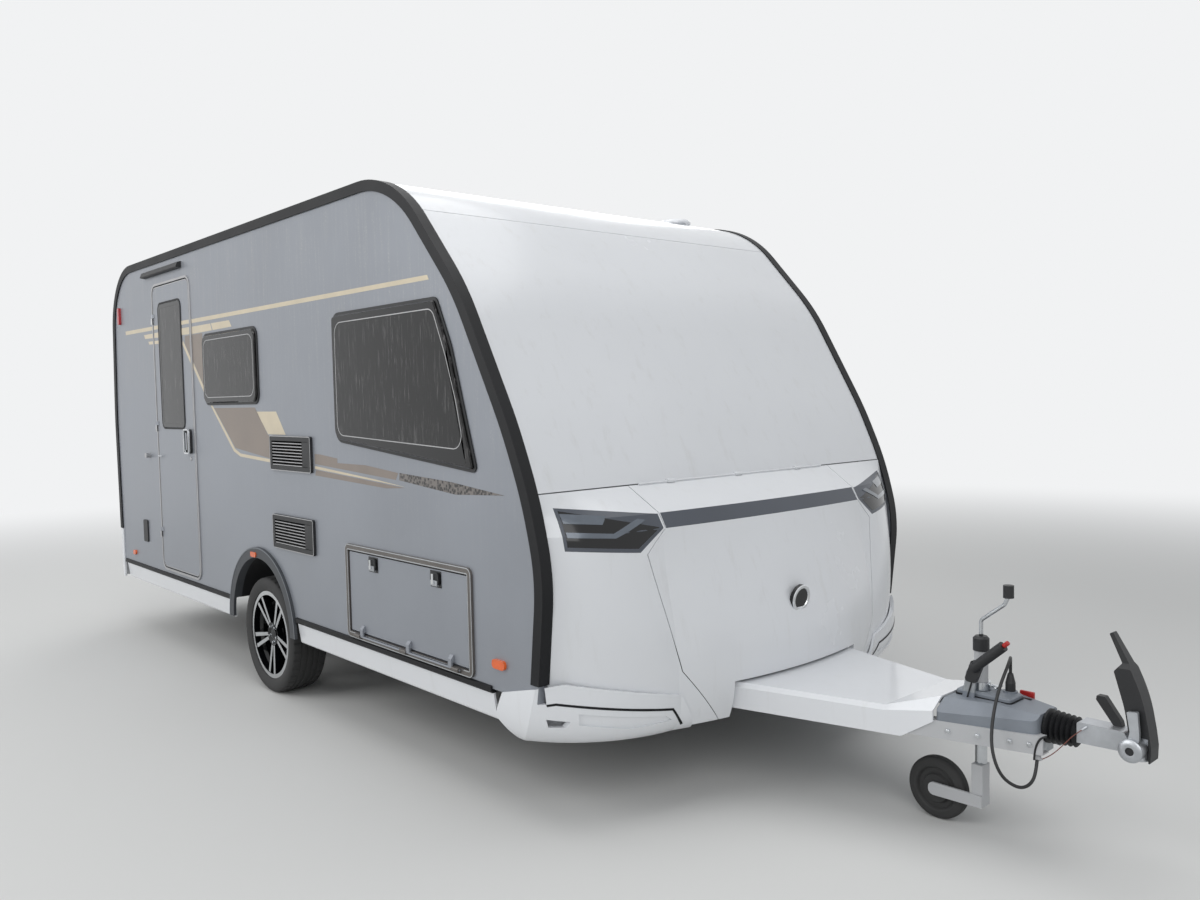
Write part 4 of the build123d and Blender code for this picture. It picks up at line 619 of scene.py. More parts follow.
def bolt(bm, centre, direction, size, tall):
    """Adds a hexagon head on its washer."""
    washer = 1.6
    lathe(bm, [(0, 0), (size * 1.05, 0), (size * 1.05, washer), (0, washer)], centre, direction, 20)
    lathe(bm, [(0, washer), (size * 0.82, washer), (size * 0.82, tall - 0.8), (size * 0.66, tall),
               (0, tall)], centre, direction, 6)


def linked(name, data, body):
    """An object of the scene that rides on a body."""
    obj = bpy.data.objects.new(name, data)
    bpy.context.scene.collection.objects.link(obj)
    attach(obj, body)
    return obj


def piece(name, bm, recipe, body=BODY, angle=35):
    """Turns the built mesh into a piece that rides on a body."""
    bmesh.ops.recalc_face_normals(bm, faces=bm.faces)
    bm.transform(TO_FRAME)
    mesh = bpy.data.meshes.new(name)
    bm.to_mesh(mesh)
    bm.free()
    mesh.shade_smooth()
    mesh.set_sharp_from_angle(angle=math.radians(angle))
    mesh.materials.append(finished(recipe))
    obj = linked(name, mesh, body)
    return obj


def build(name, recipe, shapes, body=BODY):
    """A piece from rows of a function that adds a shape and what that function is given."""
    bm = bmesh.new()
    for shape, *given in shapes:
        shape(bm, *given)
    return piece(name, bm, recipe, body)


def line_piece(name, points, radius, recipe):
    """A smooth curved rod or cord along control points in millimetres."""
    curve = bpy.data.curves.new(name, "CURVE")
    curve.dimensions = "3D"
    curve.bevel_depth = radius * MM
    curve.bevel_resolution = 5
    curve.use_fill_caps = True
    spline = curve.splines.new("NURBS")
    spline.points.add(len(points) - 1)
    for spot, point in zip(spline.points, points):
        spot.co = (*at(*point), 1)
    spline.order_u = 3
    spline.use_endpoint_u = True
    spline.resolution_u = 8
    curve.materials.append(finished(recipe))
    return linked(name, curve, BODY)


# Shell

# Vents, handle and leaves: x from, x to, z from, z to
VENTS = [(212, 688, 1240, 1420), (212, 688, 830, 1008)]
DOOR_HANDLE = (-1010, -950, 1290, 1440)
HANDLE_LOW = WALL_Y + 5.1
HANDLE_HIGH = WALL_Y + 30
PADDLE_LOW = WALL_Y + 8.5
LEAVES = [
    ("storage_flap", (1007, 2046, 490, 928), RIGHT),
    ("toilet_flap", (-2280, -1880, 700, 1080), LEFT),
]
# Parts of a latch in the frame: finish, half width, distance from the wall, length
LATCH_ZONES = ((moulded_black, 31, 4.2, 56), (chrome, 9, 14.2, 50))
LATCH_SHARES = (0.25, 0.75)
LATCH_DROP = 43
SHELL_PLAIN = {
    wall_sheet: ["side_wall_right", "side_wall_left"],
    gelcoat: ["roof_panel", "roof_bend", "front_panel", "rear_panel", "nose_shell", "gas_door",
              "front_bumpers", "rear_bumper", "drawbar_cover", "roof_fittings"],
    rubber_trim: ["edge_rails"],
    moulded_grey: ["locker_box"],
    moulded_black: ["window_frames", "wheel_boxes", "fridge_vents", "awning_lamp"],
    tinted_acrylic: ["window_panes", "entrance_door_pane"],
    clear_acrylic: ["rooflight_lid"],
    arch_plastic: ["wheel_arches"],
    dark_grey_paint: ["front_lamps"],
    red_lens: ["tail_lamps"],
}
# Nodes of more than one finish: the main one, then the others with two corners of their boxes
SHELL_ZONED = {
    "opening_frames": (frame_metal, [(anodised, (-1640, -WALL_Y - 40, 480), (-860, 0, 2400))]),
    "side_skirts": (gelcoat, [(rubber_trim, (-2600, -1300, 456), (2600, 1300, 490))]),
    "marker_lamps": (red_lens, [(amber_lens, (-2600, -1300, 400), (2600, 1300, 1500))]),
    "wall_fittings": (moulded_grey, [
        (anodised, (-1810, -1300, 1200), (-1750, 0, 1300)),
        (moulded_black, (-2000, -1300, 600), (-1800, 0, 900)),
    ]),
    "gas_door_trim": (dark_grey_paint, [(gloss_black, (2600, -200, 600), (2900, 200, 900))]),
}


def latch_places(limits):
    """Middle x and top z of the two latches of a flap."""
    x0, x1, _, z1 = limits
    return [(x0 + (x1 - x0) * share, z1 - LATCH_DROP) for share in LATCH_SHARES]


class CARAVAN_OT_shell(bpy.types.Operator):
    """Paint the panels, mouldings, frames and leaves of the body."""

    bl_idname = "caravan.shell"
    bl_label = "Shell"

    def execute(self, context):
        paint_all(SHELL_PLAIN, SHELL_ZONED)
        x0, x1, z0, z1 = DOOR_HANDLE
        handle = (moulded_black, (x0 - 1, -HANDLE_HIGH, z0 - 1), (x1 + 1, -HANDLE_LOW, z1 + 1))
        paddle = (chrome, (x0 + 13, -HANDLE_HIGH, z0 + 18), (x0 + 31, -PADDLE_LOW, z1 - 18))
        paint("entrance_door", wall_sheet, [handle, paddle])
        for flap, limits, side in LEAVES:
            latches = []
            for x, top in latch_places(limits):
                for recipe, half, lift, tall in LATCH_ZONES:
                    low, high = span(side, WALL_Y + lift, WALL_Y + 60)
                    latches.append((recipe, (x - half, low, top - tall), (x + half, high, top)))
            paint(flap, wall_sheet, latches)
        return {"FINISHED"}


# Films: finish, corners x, z counter-clockwise, on both walls
FILMS = {
    "upper_stripe": (gold_film, [[(-2186, 2089), (1795, 2072), (1783, 2092), (-2195, 2115)]]),
    "second_stripe": (gold_film, [
        [(-1774, 2039), (-900, 2018), (-566, 2020), (-590, 2061), (-1793, 2066)],
        [(-553, 2020), (-270, 2022), (-305, 2060), (-577, 2061)],
        [(-1690, 1997), (-1450, 1991), (-1450, 2012), (-1709, 2017)],
    ]),
    "edge_line": (gold_film, [
        [(-1050, 1966), (-722, 1652), (-627, 1577), (-599, 1577), (-703, 1668), (-1036, 1988)],
        [(-627, 1577), (-310, 1322), (-292, 1337), (-599, 1577)],
        [(-310, 1322), (-220, 1295), (186, 1276), (186, 1293), (-213, 1312), (-292, 1337)],
    ]),
    "gold_field": (gold_film, [[(168, 1425), (385, 1425), (278, 1545), (27, 1545)]]),
    "bronze_field": (bronze_film, [
        [(-1005, 2013), (-722, 1740), (-722, 2014)],
        [(-1005, 1965), (-722, 1690), (-722, 1740), (-1005, 2013)],
        [(-580, 1568), (-284, 1341), (184, 1297), (184, 1416), (160, 1425), (8, 1568)],
    ]),
    "front_band": (bronze_film, [
        [(708, 1287), (1482, 1246), (1503, 1277), (763, 1336), (708, 1336)],
        [(708, 1231), (1400, 1205), (1556, 1215), (720, 1258)],
    ]),
    "front_line": (gold_film, [[(708, 1263), (1560, 1219), (1300, 1240), (708, 1277)]]),
    "dark_wedge": (carbon_film, [
        [(1511, 1246), (1943, 1210), (2274, 1226), (1913, 1259), (1513, 1278)],
    ]),
}
# What films are cut out round: x from, x to, z from, z to
RIGHT_HOLES = [(-712, 82, 1583, 2007), (946, 2112, 1300, 2002)]
LEFT_HOLES = [(-902, 82, 1398, 2007), (946, 2112, 1300, 2002)]
DOORWAY = (-1596, -889, 0, 3000)
DOOR_FACE = WALL_Y + 5
# The door's surface on both sides of its pane: x from, x to
DOOR_SPANS = [(-1571, -1467), (-1063, -914)]
FILM_LIFT = 0.05


def cut_half(points, axis, limit, keep_above):
    """The part of an outline on one side of a line across an axis."""
    kept = []
    sign = 1 if keep_above else -1
    for i, here in enumerate(points):
        before = points[i - 1]
        here_in = sign * (here[axis] - limit) >= 0
        before_in = sign * (before[axis] - limit) >= 0
        if here_in != before_in:
            share = (limit - before[axis]) / (here[axis] - before[axis])
            kept.append(tuple(b + (h - b) * share for b, h in zip(before, here)))
        if here_in:
            kept.append(here)
    return kept


def outside(points, hole):
    """An outline without a rectangular hole, as up to four outlines."""
    x0, x1, z0, z1 = hole
    middle = cut_half(cut_half(points, 0, x0, True), 0, x1, False) if points else []
    parts = [cut_half(points, 0, x0, False), cut_half(points, 0, x1, True)]
    if middle:
        parts += [cut_half(middle, 1, z0, False), cut_half(middle, 1, z1, True)]
    return [part for part in parts if len(part) > 2]


def film_parts(points, side):
    """An outline on a wall, cut out round the windows and the entrance door."""
    holes = LEFT_HOLES if side == LEFT else RIGHT_HOLES + [DOORWAY]
    parts = [points]
    for hole in holes:
        parts = [rest for part in parts for rest in outside(part, hole)]
    return parts


def add_film(bm, points, side, face):
    """Adds one film on a side, just off the face that carries it."""
    near = face + FILM_LIFT
    low, high = span(side, near, near + bpy.context.scene.caravan_sizes.film)
    prism(bm, points, low, high)


class CARAVAN_OT_films(bpy.types.Operator):
    """Lay the vinyl films on both walls and across the entrance door."""

    bl_idname = "caravan.films"
    bl_label = "Films"

    def execute(self, context):
        for name, (recipe, outlines) in FILMS.items():
            for side, word in ((RIGHT, "right"), (LEFT, "left")):
                build(f"{name}_{word}", recipe, [
                    (add_film, part, side, WALL_Y)
                    for points in outlines for part in film_parts(points, side)])
            on_door = [cut_half(cut_half(points, 0, low, True), 0, high, False)
                       for points in outlines for low, high in DOOR_SPANS]
            shapes = [(add_film, part, RIGHT, DOOR_FACE) for part in on_door if len(part) > 2]
            if shapes:
                build(f"{name}_door", recipe, shapes, "entrance_door")
        return {"FINISHED"}


# Windows: side, corners x, z of the pane and of its clear part, counter-clockwise, and bend radius
BIG_PANE = [(964, 1403), (2109, 1303), (2054, 1371), (1951, 1800), (1852, 2000), (948, 2000)]
BIG_CLEAR = [(992, 1432), (2042, 1388), (1990, 1585), (1925, 1765), (1838, 1954), (992, 1954)]
WINDOWS = {
    "big_right": (RIGHT, BIG_PANE, BIG_CLEAR, 34),
    "big_left": (LEFT, BIG_PANE, BIG_CLEAR, 34),
    "small_right": (RIGHT, [(-710, 1585), (80, 1585), (80, 2005), (-710, 2005)],
                    [(-674, 1628), (44, 1628), (44, 1966), (-674, 1966)], 60),
    "rear_left": (LEFT, [(-900, 1400), (80, 1400), (80, 2005), (-900, 2005)],
                  [(-864, 1443), (44, 1443), (44, 1966), (-864, 1966)], 60),
}
CLEAR_RADIUS = 58
PRINT_EDGE = 20
PRINT_LIFT = 0.1
PRINT_TOP = 0.4
# Height of the painted highlight ring over the pane
HIGHLIGHT_TOP = 0.5
PANE_FACE = WALL_Y + 17
BLIND_INSETS = (22, 66)
BLIND_NEAR = WALL_Y - 62
BLIND_FAR = WALL_Y - 34
DOOR_PANE = (-1465, -1065, 1450, 2240)
# Rings round the door's pane: name, finish, radius, outer and inner inset, lift from, lift to
DOOR_PANE_RINGS = (
    ("door_pane_print", gloss_black, 30, (2, 26), 3.2, 3.6),
    ("door_pane_seal", rubber_trim, 40, (-12, -1), 0.1, 4),
)


def window_outline(corners, radius, inset):
    """Outline of a window moved inwards, with its corners bent round."""
    inner = moved_in(corners, inset)
    return round_corners(inner, max(radius - inset, 6))


class CARAVAN_OT_glazing(bpy.types.Operator):
    """Add the black print, a pale ring inside it that is a painted highlight of the panes' inner bevel,
    and the inner frames of the windows.
    """

    bl_idname = "caravan.glazing"
    bl_label = "Glazing"

    def execute(self, context):
        line = context.scene.caravan_sizes.print_line
        prints, lines, frames = bmesh.new(), bmesh.new(), bmesh.new()
        for side, corners, clear, radius in WINDOWS.values():
            rim = window_outline(corners, radius, PRINT_EDGE)
            sight = window_outline(clear, CLEAR_RADIUS, 0)
            within_highlight = window_outline(clear, CLEAR_RADIUS, line)
            low = PANE_FACE + PRINT_LIFT
            ring(prints, rim, sight, *span(side, low, PANE_FACE + PRINT_TOP))
            # Pale ring inside the print: painted highlight of the pane's inner bevel
            ring(lines, sight, within_highlight, *span(side, low, PANE_FACE + HIGHLIGHT_TOP))
            outer, inner = (window_outline(corners, radius, inset) for inset in BLIND_INSETS)
            ring(frames, outer, inner, *span(side, BLIND_NEAR, BLIND_FAR))
        piece("window_print", prints, gloss_black)
        # Painted highlights of the panes' inner bevels, as pale aluminium rings
        piece("window_highlight_lines", lines, anodised)
        piece("blind_frames", frames, moulded_grey)
        for name, recipe, radius, insets, near, far in DOOR_PANE_RINGS:
            faces = span(RIGHT, DOOR_FACE + near, DOOR_FACE + far)
            build(name, recipe, [(band, DOOR_PANE, radius, insets, *faces)], "entrance_door")
        return {"FINISHED"}


# Fittings on the walls and the nose

DOOR = (-1580, -905, 520, 2365)
DOOR_LOCK = [(0, 0), (12, 0), (12, 3), (9, 4), (0, 4)]
CATCH_X = -1530
CATCH_Z = 1260
CATCH_BAR_Y = -DOOR_FACE - 17
# Insets of the bright rings on the flap frames, painted highlights of the frames' edges
FRAME_HIGHLIGHT_INSETS = ((1, 5), (22, 26))
# Parts added to a latch: name, finish, half width, lift off the wall, heights about its top, edge
LATCH_PARTS = (
    ("latch_plates", gloss_black, 40, (4.1, 6.5), (-65, 3), 0.5),
    ("latch_paddles", cast_silver, 24, (6.4, 17), (-59, -35), 2),
)
VENT_BLADES = 8
VENT_MARGIN = 26
# y of the painted highlights on the blades and round a vent, and of its closed end
BLADE_HIGHLIGHT = (-WALL_Y - 12.4, -WALL_Y - 11.1)
VENT_HIGHLIGHT = (-WALL_Y - 14.8, -WALL_Y - 14.1)
VENT_END = (-WALL_Y - 12.5, -WALL_Y - 11.1)
ARCH_Z = 373
ARCH_R = 433
LOCK_PLACE = (2749, 0, 735)
LOCK_TILT = math.radians(99)
LOCK_RING = [(41, 7.2), (56, 7.2), (57.5, 9.5), (54, 12.5), (44, 12.5)]
NUMBER_PLATE = (-258, 258, 436, 550)
PLATE_FACES = (-2527.8, -2526.1)


def arc_band(bm, radius, width, low, high):
    """Adds the upper half of a flat ring round the wheel opening."""
    steps = 40
    points = []
    for reach, turn in ((radius, 1), (radius - width, -1)):
        angles = [math.pi * k / steps for k in range(steps + 1)][::turn]
        points += [(reach * math.cos(a), ARCH_Z + reach * math.sin(a)) for a in angles]
    prism(bm, points, low, high)


class CARAVAN_OT_fittings(bpy.types.Operator):
    """Add the door's edge line, painted highlights on the flap frames and the vents' louvres, lock,
    arch lips and the number-plate blank.
    """

    bl_idname = "caravan.fittings"
    bl_label = "Fittings"

    def execute(self, context):
        self.door_parts()
        # Bright rings on the flap frames: painted highlights of the frames' edges
        build("frame_edge_highlights", bright_zinc, [
            (band, limits, 30, insets, *span(side, WALL_Y + 10.1, WALL_Y + 10.9))
            for _, limits, side in LEAVES for insets in FRAME_HIGHLIGHT_INSETS])
        for flap, limits, side in LEAVES:
            for name, recipe, half, lifts, heights, edge in LATCH_PARTS:
                low, high = span(side, *(WALL_Y + lift for lift in lifts))
                build(f"{flap}_{name}", recipe, [
                    (block, x - half, x + half, low, high, *(top + z for z in heights), edge)
                    for x, top in latch_places(limits)], flap)
        self.vent_parts()
        build("arch_lips", moulded_grey, [
            (arc_band, ARCH_R - 1, 6, *span(side, WALL_Y + 15.1, WALL_Y + 16.6))
            for side in (RIGHT, LEFT)])
        out = (math.sin(LOCK_TILT), 0, math.cos(LOCK_TILT))
        build("lock_ring", chrome, [(lathe, LOCK_RING, LOCK_PLACE, out, 48, True)], "gas_door")
        build("number_plate", plate_blank, [
            (prism, rounded(*NUMBER_PLATE, 8), *PLATE_FACES, "yz", 0.4)])
        return {"FINISHED"}

    def door_parts(self):
        """Edge line, lock, handle bow and catch of the entrance door."""
        x0, x1, z0, z1 = DOOR_HANDLE
        build("door_edge", anodised, [
            (band, DOOR, 60, (7.5, 13), -DOOR_FACE - 1.0, -DOOR_FACE - 0.1),
            (lathe, DOOR_LOCK, (x0 + 30, -DOOR_FACE, z0 - 32), (0, -1, 0), 24),
        ], "entrance_door")
        bow = (x0 - 24, x1 + 2, z0 - 2, z1 + 2)
        build("door_handle_bow", chrome, [
            (band, bow, 16, (0, 9), -WALL_Y - 31.5, -WALL_Y - 22),
            *((block, x0 - 21, x0 - 12, -WALL_Y - 23, -DOOR_FACE, foot, foot + 14)
              for foot in (z0 + 8, z1 - 22)),
            (rod, (CATCH_X, -DOOR_FACE, CATCH_Z), (CATCH_X, -DOOR_FACE - 22, CATCH_Z), 5, 1),
            (rod, (CATCH_X - 10, CATCH_BAR_Y, CATCH_Z - 2),
             (CATCH_X + 52, CATCH_BAR_Y, CATCH_Z + 2), 4, 1),
        ], "entrance_door")

    def vent_parts(self):
        """Painted highlights on the vents' blades and frames as bright strips, and their closed ends.
        """
        edges, ends = [], []
        for x0, x1, z0, z1 in VENTS:
            pitch = (z1 - z0 - 2 * VENT_MARGIN) / VENT_BLADES
            for i in range(VENT_BLADES):
                z = z0 + VENT_MARGIN + pitch * (i + 0.5)
                edges.append((block, x0 + 27, x1 - 96, *BLADE_HIGHLIGHT, z - 6, z - 1.5))
            edges.append((band, (x0, x1, z0, z1), 12, (0, 4), *VENT_HIGHLIGHT))
            ends.append((block, x1 - 94, x1 - 27, *VENT_END, z0 + 28, z1 - 28, 0.4))
        # Bright strips on the blades and round the vents: painted highlights of their edges
        build("louvre_highlights", anodised, edges)
        build("vent_ends", moulded_black, ends)


# Front lamps: quads of y, z on the nose
LAMP_FIELD = [(1036, 1042), (772, 1016), (664, 1086), (1040, 1172)]
LAMP_BARS = [
    [(1036, 1127), (900, 1114), (875, 1144), (1040, 1162)],
    [(1034, 1076), (862, 1062), (868, 1080), (1036, 1096)],
    [(862, 1062), (716, 1118), (752, 1126), (868, 1080)],
]
# Lines of y, z down the grooves of the front bumpers and the seam of the gas door, where black strips
# paint their shade
BUMPER_GROOVE = [(1120, 470), (1098, 475), (900, 442), (691, 408), (632, 335)]
DOOR_SEAM = [(650, 1200), (640, 1137), (637, 1080), (734, 990), (635, 540), (470, 340)]
# Where rays towards the front start, and the longest step of a line laid over it
AHEAD_X = 3200
DRAPE_STEP = 12


def on_side(points, side):
    """Points y, z of the left side, on either side."""
    return [(side * y, z) for y, z in points]


def nose_x(node, y, z):
    """How far forward a node reaches at one y and z, in millimetres, or nothing."""
    start = at(AHEAD_X, y, z)
    hit, place, *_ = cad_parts[node].ray_cast(start, Vector((-1, 0, 0)))
    return (place.x - AXLE_X) / MM if hit else None


def draped(bm, node, quad, columns, rows, thick, lift=0.2, squeeze=1.0):
    """Adds a thin patch that follows a node's front: quad has corners y, z."""
    a, b, c, d = [Vector(corner) for corner in quad]
    layers = []
    for height in (lift, lift + thick):
        layer = []
        for i in range(rows + 1):
            line = []
            for j in range(columns + 1):
                u, v = j / columns, i / rows
                spot = a.lerp(b, u).lerp(d.lerp(c, u), v)
                x = nose_x(node, spot.x * squeeze, spot.y)
                if x is None:
                    raise RuntimeError(f"{node} is not at {spot}")
                line.append(bm.verts.new((x + height, spot.x, spot.y)))
            layer.append(line)
        layers.append(layer)
    low, high = layers
    for layer in layers:
        for i in range(rows):
            for j in range(columns):
                bm.faces.new((layer[i][j], layer[i][j + 1], layer[i + 1][j + 1], layer[i + 1][j]))
    around = [(0, j) for j in range(columns)] + [(i, columns) for i in range(rows)]
    around += [(rows, j) for j in range(columns, 0, -1)] + [(i, 0) for i in range(rows, 0, -1)]
    for k, (i, j) in enumerate(around):
        m, n = around[(k + 1) % len(around)]
        bm.faces.new((low[i][j], low[m][n], high[m][n], high[i][j]))


def draped_line(bm, node, points, width, thick, **place):
    """Adds a thin band along points y, z that follows a node's front."""
    for start, end in zip(points, points[1:]):
        a, b = Vector(start), Vector(end)
        along = (b - a).normalized()
        off = Vector((-along.y, along.x)) * width / 2
        over = along * width * 0.2
        quad = [a - off - over, b - off + over, b + off + over, a + off - over]
        draped(bm, node, quad, max(1, int((b - a).length / DRAPE_STEP)), 2, thick, **place)


class CARAVAN_OT_lamps(bpy.types.Operator):
    """Add what shows inside the front lamps, and black strips in the bumper grooves and the seams of
    the gas door, which are painted shade of those grooves and seams.
    """

    bl_idname = "caravan.lamps"
    bl_label = "Lamps"

    def execute(self, context):
        lamps = "front_lamps"
        fields, bars, grooves, seam_shade = (bmesh.new() for _ in range(4))
        for side in (LEFT, RIGHT):
            draped(fields, lamps, on_side(LAMP_FIELD, side), 12, 6, 0.6)
            for quad in LAMP_BARS:
                draped(bars, lamps, on_side(quad, side), 8, 2, 2.5)
            # Black strips along the bumpers' grooves: painted shade of the grooves
            draped_line(grooves, "front_bumpers", on_side(BUMPER_GROOVE, side), 9, 0.8, lift=0.5)
            # Black strips 9 mm into the seams of the gas door: painted shade of the seam gaps
            draped_line(seam_shade, "gas_door", on_side(DOOR_SEAM, side), 16, 2, lift=-9, squeeze=0.97)
        piece("front_lamp_fields", fields, gloss_black)
        piece("front_lamp_bars", bars, clear_lens)
        # Painted shade of the bumper grooves, as black strips
        piece("bumper_groove_shade", grooves, rubber_trim)
        # Painted shade of the gas door's seam gaps, as black strips
        piece("gas_door_seam_shade", seam_shade, rubber_trim)
        return {"FINISHED"}


# Wheels

TYRE_R = 318
WHEEL_Y = 1019.5
# Tread: half its width, points across it, how far its shoulders drop, middles of the grooves, where
# the shoulder slots begin, and how many steps round the tyre lie between slots and between sipes
TREAD_HALF = 84
TREAD_POINTS = 42
SHOULDER_DROP = 3.2
GROOVES = (-48, -16, 16, 48)
GROOVE_HALF = 4.1
SLOT_FROM = 52
SLOT_STEP = 7
SIPE_STEP = 10
# Radius and offset from the middle of the tyre
SIDEWALL = [
    (227.5, -66), (228, -78), (241, -81), (243, -92), (254, -96.5), (267, -100.8), (282, -102.3),
    (296, -100.5), (306, -96), (312, -90),
]
TYRE_INSIDE = [(240, 60), (272, 84), (294, 60), (294, -60), (272, -84), (240, -60)]
CAP = [(0, 1), (20, 1), (27, -2), (29.5, -6), (0, -6)]
CAP_Y = WHEEL_Y + 70
HUB_R = 66
OUTWARD = 0.93
BOLTS = 5
BOLT_CIRCLE = 46
BOLT_Y = WHEEL_Y + 65
VALVE_R = 206
VALVE_Y = WHEEL_Y + 64
VALVE_ANGLE = 0.63


def on_wheel(radius, angle, y):
    """A place on a wheel, turned round its axle."""
    return radius * math.cos(angle), y, AXLE_Z + radius * math.sin(angle)


def tyre_section():
    """Section of the tyre, outside and then inside: radius, offset and whether it is tread."""
    section = [(r, y, False) for r, y in SIDEWALL]
    for i in range(TREAD_POINTS + 1):
        y = -TREAD_HALF + 2 * TREAD_HALF * i / TREAD_POINTS
        section.append((TYRE_R - 0.4 - SHOULDER_DROP * (y / TREAD_HALF) ** 4, y, True))
    section += [(r, -y, False) for r, y in reversed(SIDEWALL)]
    return section + [(r, y, False) for r, y in TYRE_INSIDE]


def tread_cut(y, step):
    """Share of the tread's depth that a groove, a shoulder slot or a sipe takes away."""
    if any(abs(y - groove) < GROOVE_HALF for groove in GROOVES):
        return 1.0
    if abs(y) > SLOT_FROM and step % SLOT_STEP == 0:
        return 0.8
    if GROOVES[2] < abs(y) < GROOVES[3] and (step + int(abs(y) / 8)) % SIPE_STEP == 0:
        return 0.5
    return 0.0


def tyre_mesh(bm, side):
    """Adds the tyre with its grooves, shoulder blocks and sipes."""
    sizes = bpy.context.scene.caravan_sizes
    rows = []
    for k in range(sizes.tread_steps):
        angle = 2 * math.pi * k / sizes.tread_steps
        row = []
        for radius, y, is_tread in tyre_section():
            reach = radius - (sizes.tread * tread_cut(y, k) if is_tread else 0)
            row.append(bm.verts.new(on_wheel(reach, angle, side * WHEEL_Y + y)))
        rows.append(row)
    for k, row in enumerate(rows):
        bridge(bm, row, rows[(k + 1) % len(rows)])


def wheel_face(tree):
    """Cast alloy wheel: face and lip turned bright, pockets and barrel in gloss black."""
    bright = machined_alloy(tree)
    black = gloss_black(tree)
    place = add(tree, "ShaderNodeTexCoord")
    surface = add(tree, "ShaderNodeNewGeometry")
    facing = add(tree, "ShaderNodeSeparateXYZ", {"Vector": (surface, "True Normal")})
    flat = add(tree, "ShaderNodeMath", {0: (facing, "Y")}, operation="ABSOLUTE")
    outward = add(tree, "ShaderNodeMath", {0: (flat, "Value"), 1: OUTWARD}, operation="GREATER_THAN")
    offset = add(tree, "ShaderNodeVectorMath", {0: (place, "Object"), 1: at(0, 0, AXLE_Z)},
                 operation="SUBTRACT")
    parts = add(tree, "ShaderNodeSeparateXYZ", {"Vector": (offset, "Vector")})
    disc = add(tree, "ShaderNodeCombineXYZ", {"X": (parts, "X"), "Z": (parts, "Z")})
    reach = add(tree, "ShaderNodeVectorMath", {0: (disc, "Vector")}, operation="LENGTH")
    past_hub = add(tree, "ShaderNodeMath", {0: (reach, "Value"), 1: HUB_R * MM},
                   operation="GREATER_THAN")
    mask = add(tree, "ShaderNodeMath", {0: (outward, "Value"), 1: (past_hub, "Value")},
               operation="MULTIPLY")
    return add(tree, "ShaderNodeMixShader", {
        0: (mask, "Value"), 1: (black, "BSDF"), 2: (bright, "BSDF")})


class CARAVAN_OT_wheels(bpy.types.Operator):
    """Build the tyres with their tread, and the caps and bolts of the alloy wheels."""

    bl_idname = "caravan.wheels"
    bl_label = "Wheels"

    def execute(self, context):
        for side, word in ((RIGHT, "right"), (LEFT, "left")):
            body = f"wheel_{word}"
            bm = bmesh.new()
            tyre_mesh(bm, side)
            tyre = piece(f"tyre_{word}", bm, tyre_rubber, body, angle=40)
            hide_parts(f"wheel_{word}_tyre")
            paint(f"wheel_{word}_rim", wheel_face)
            out = (0, side, 0)
            cap = (lathe, CAP, (0, side * CAP_Y, AXLE_Z), out)
            build(f"wheel_cap_{word}", moulded_black, [cap], body)
            angles = [2 * math.pi * (k + 0.5) / BOLTS + math.pi / 2 for k in range(BOLTS)]
            valve = on_wheel(VALVE_R, VALVE_ANGLE, side * VALVE_Y)
            tip = (valve[0] - 8, valve[1] + side * 16, valve[2] - 6)
            build(f"wheel_bolts_{word}", bright_zinc, [
                *((bolt, on_wheel(BOLT_CIRCLE, a, side * BOLT_Y), out, 9.5, 12) for a in angles),
                (rod, valve, tip, 4),
            ], body)
        return {"FINISHED"}


# Running gear and drawbar

JOCKEY_X = 3540
BEAM_TIP_X = 3800
BEAM_TIP_Y = 67
BEAM_SLOPE = 0.268
BEAM_HALF = 23
CHASSIS_PLAIN = {
    galvanised: ["chassis_frame", "drawbar_beams", "jockey_tube", "jockey_fork", "steady_front_left",
                 "steady_front_right", "steady_rear_left", "steady_rear_right"],
    rubber_trim: ["bellows"],
    cast_silver: ["coupling_head"],
    bright_zinc: ["jockey_leg"],
    moulded_black: ["stabiliser_handle", "cable_plug", "handbrake_lever"],
    tyre_rubber: ["jockey_wheel"],
}
# Nodes of more than one finish, as above
CHASSIS_ZONED = {
    "torsion_axle": (galvanised, [
        (moulded_black, (-200, 858, 150), (200, 958, 500)),
        (moulded_black, (-200, -958, 150), (200, -858, 500)),
    ]),
    "floor_panel": (underbody, [(vinyl_floor, (-2600, -1200, 514), (2500, 1200, 530))]),
    "overrun_housing": (powder_grey, [
        (galvanised, (3440, -74, 518), (3570, -57, 640)),
        (galvanised, (3400, -60, 300), (3800, 60, 427)),
    ]),
    "coupling_levers": (moulded_black, [(cast_silver, (4000, -70, 400), (4100, -40, 600))]),
    "jockey_crank": (bright_zinc, [
        (moulded_black, (3480, -60, 600), (3600, 60, 716)),
        (moulded_black, (3600, -60, 856), (3700, 60, 930)),
    ]),
}
# Small parts of the drawbar: name, finish, and rows of a shape and what its function is given
HOUSING_PARTS = (
    ("housing_joint", rubber_trim, [
        (band, (3466, 3674, -56, 56), 18, (0, 3.9), 490, 503.5, "xy"),
        (block, 3666, 3695, 50, 61, 496, 500.5),
    ]),
    ("red_parts", red_button, [
        (rod, (3662, -82, 707), (3680, -82, 723), 8, 2),
        (block, 3640, 3690, 84, 94, 490, 516, 3),
    ]),
    ("brake_rod", moulded_black, [(rod, (3548, -68.5, 586), (3522, -68.5, 494), 2.5)]),
)
CLAMP_Z = 519
CLAMP = [(24.4, 0), (33, 0), (33, 28), (24.4, 28)]
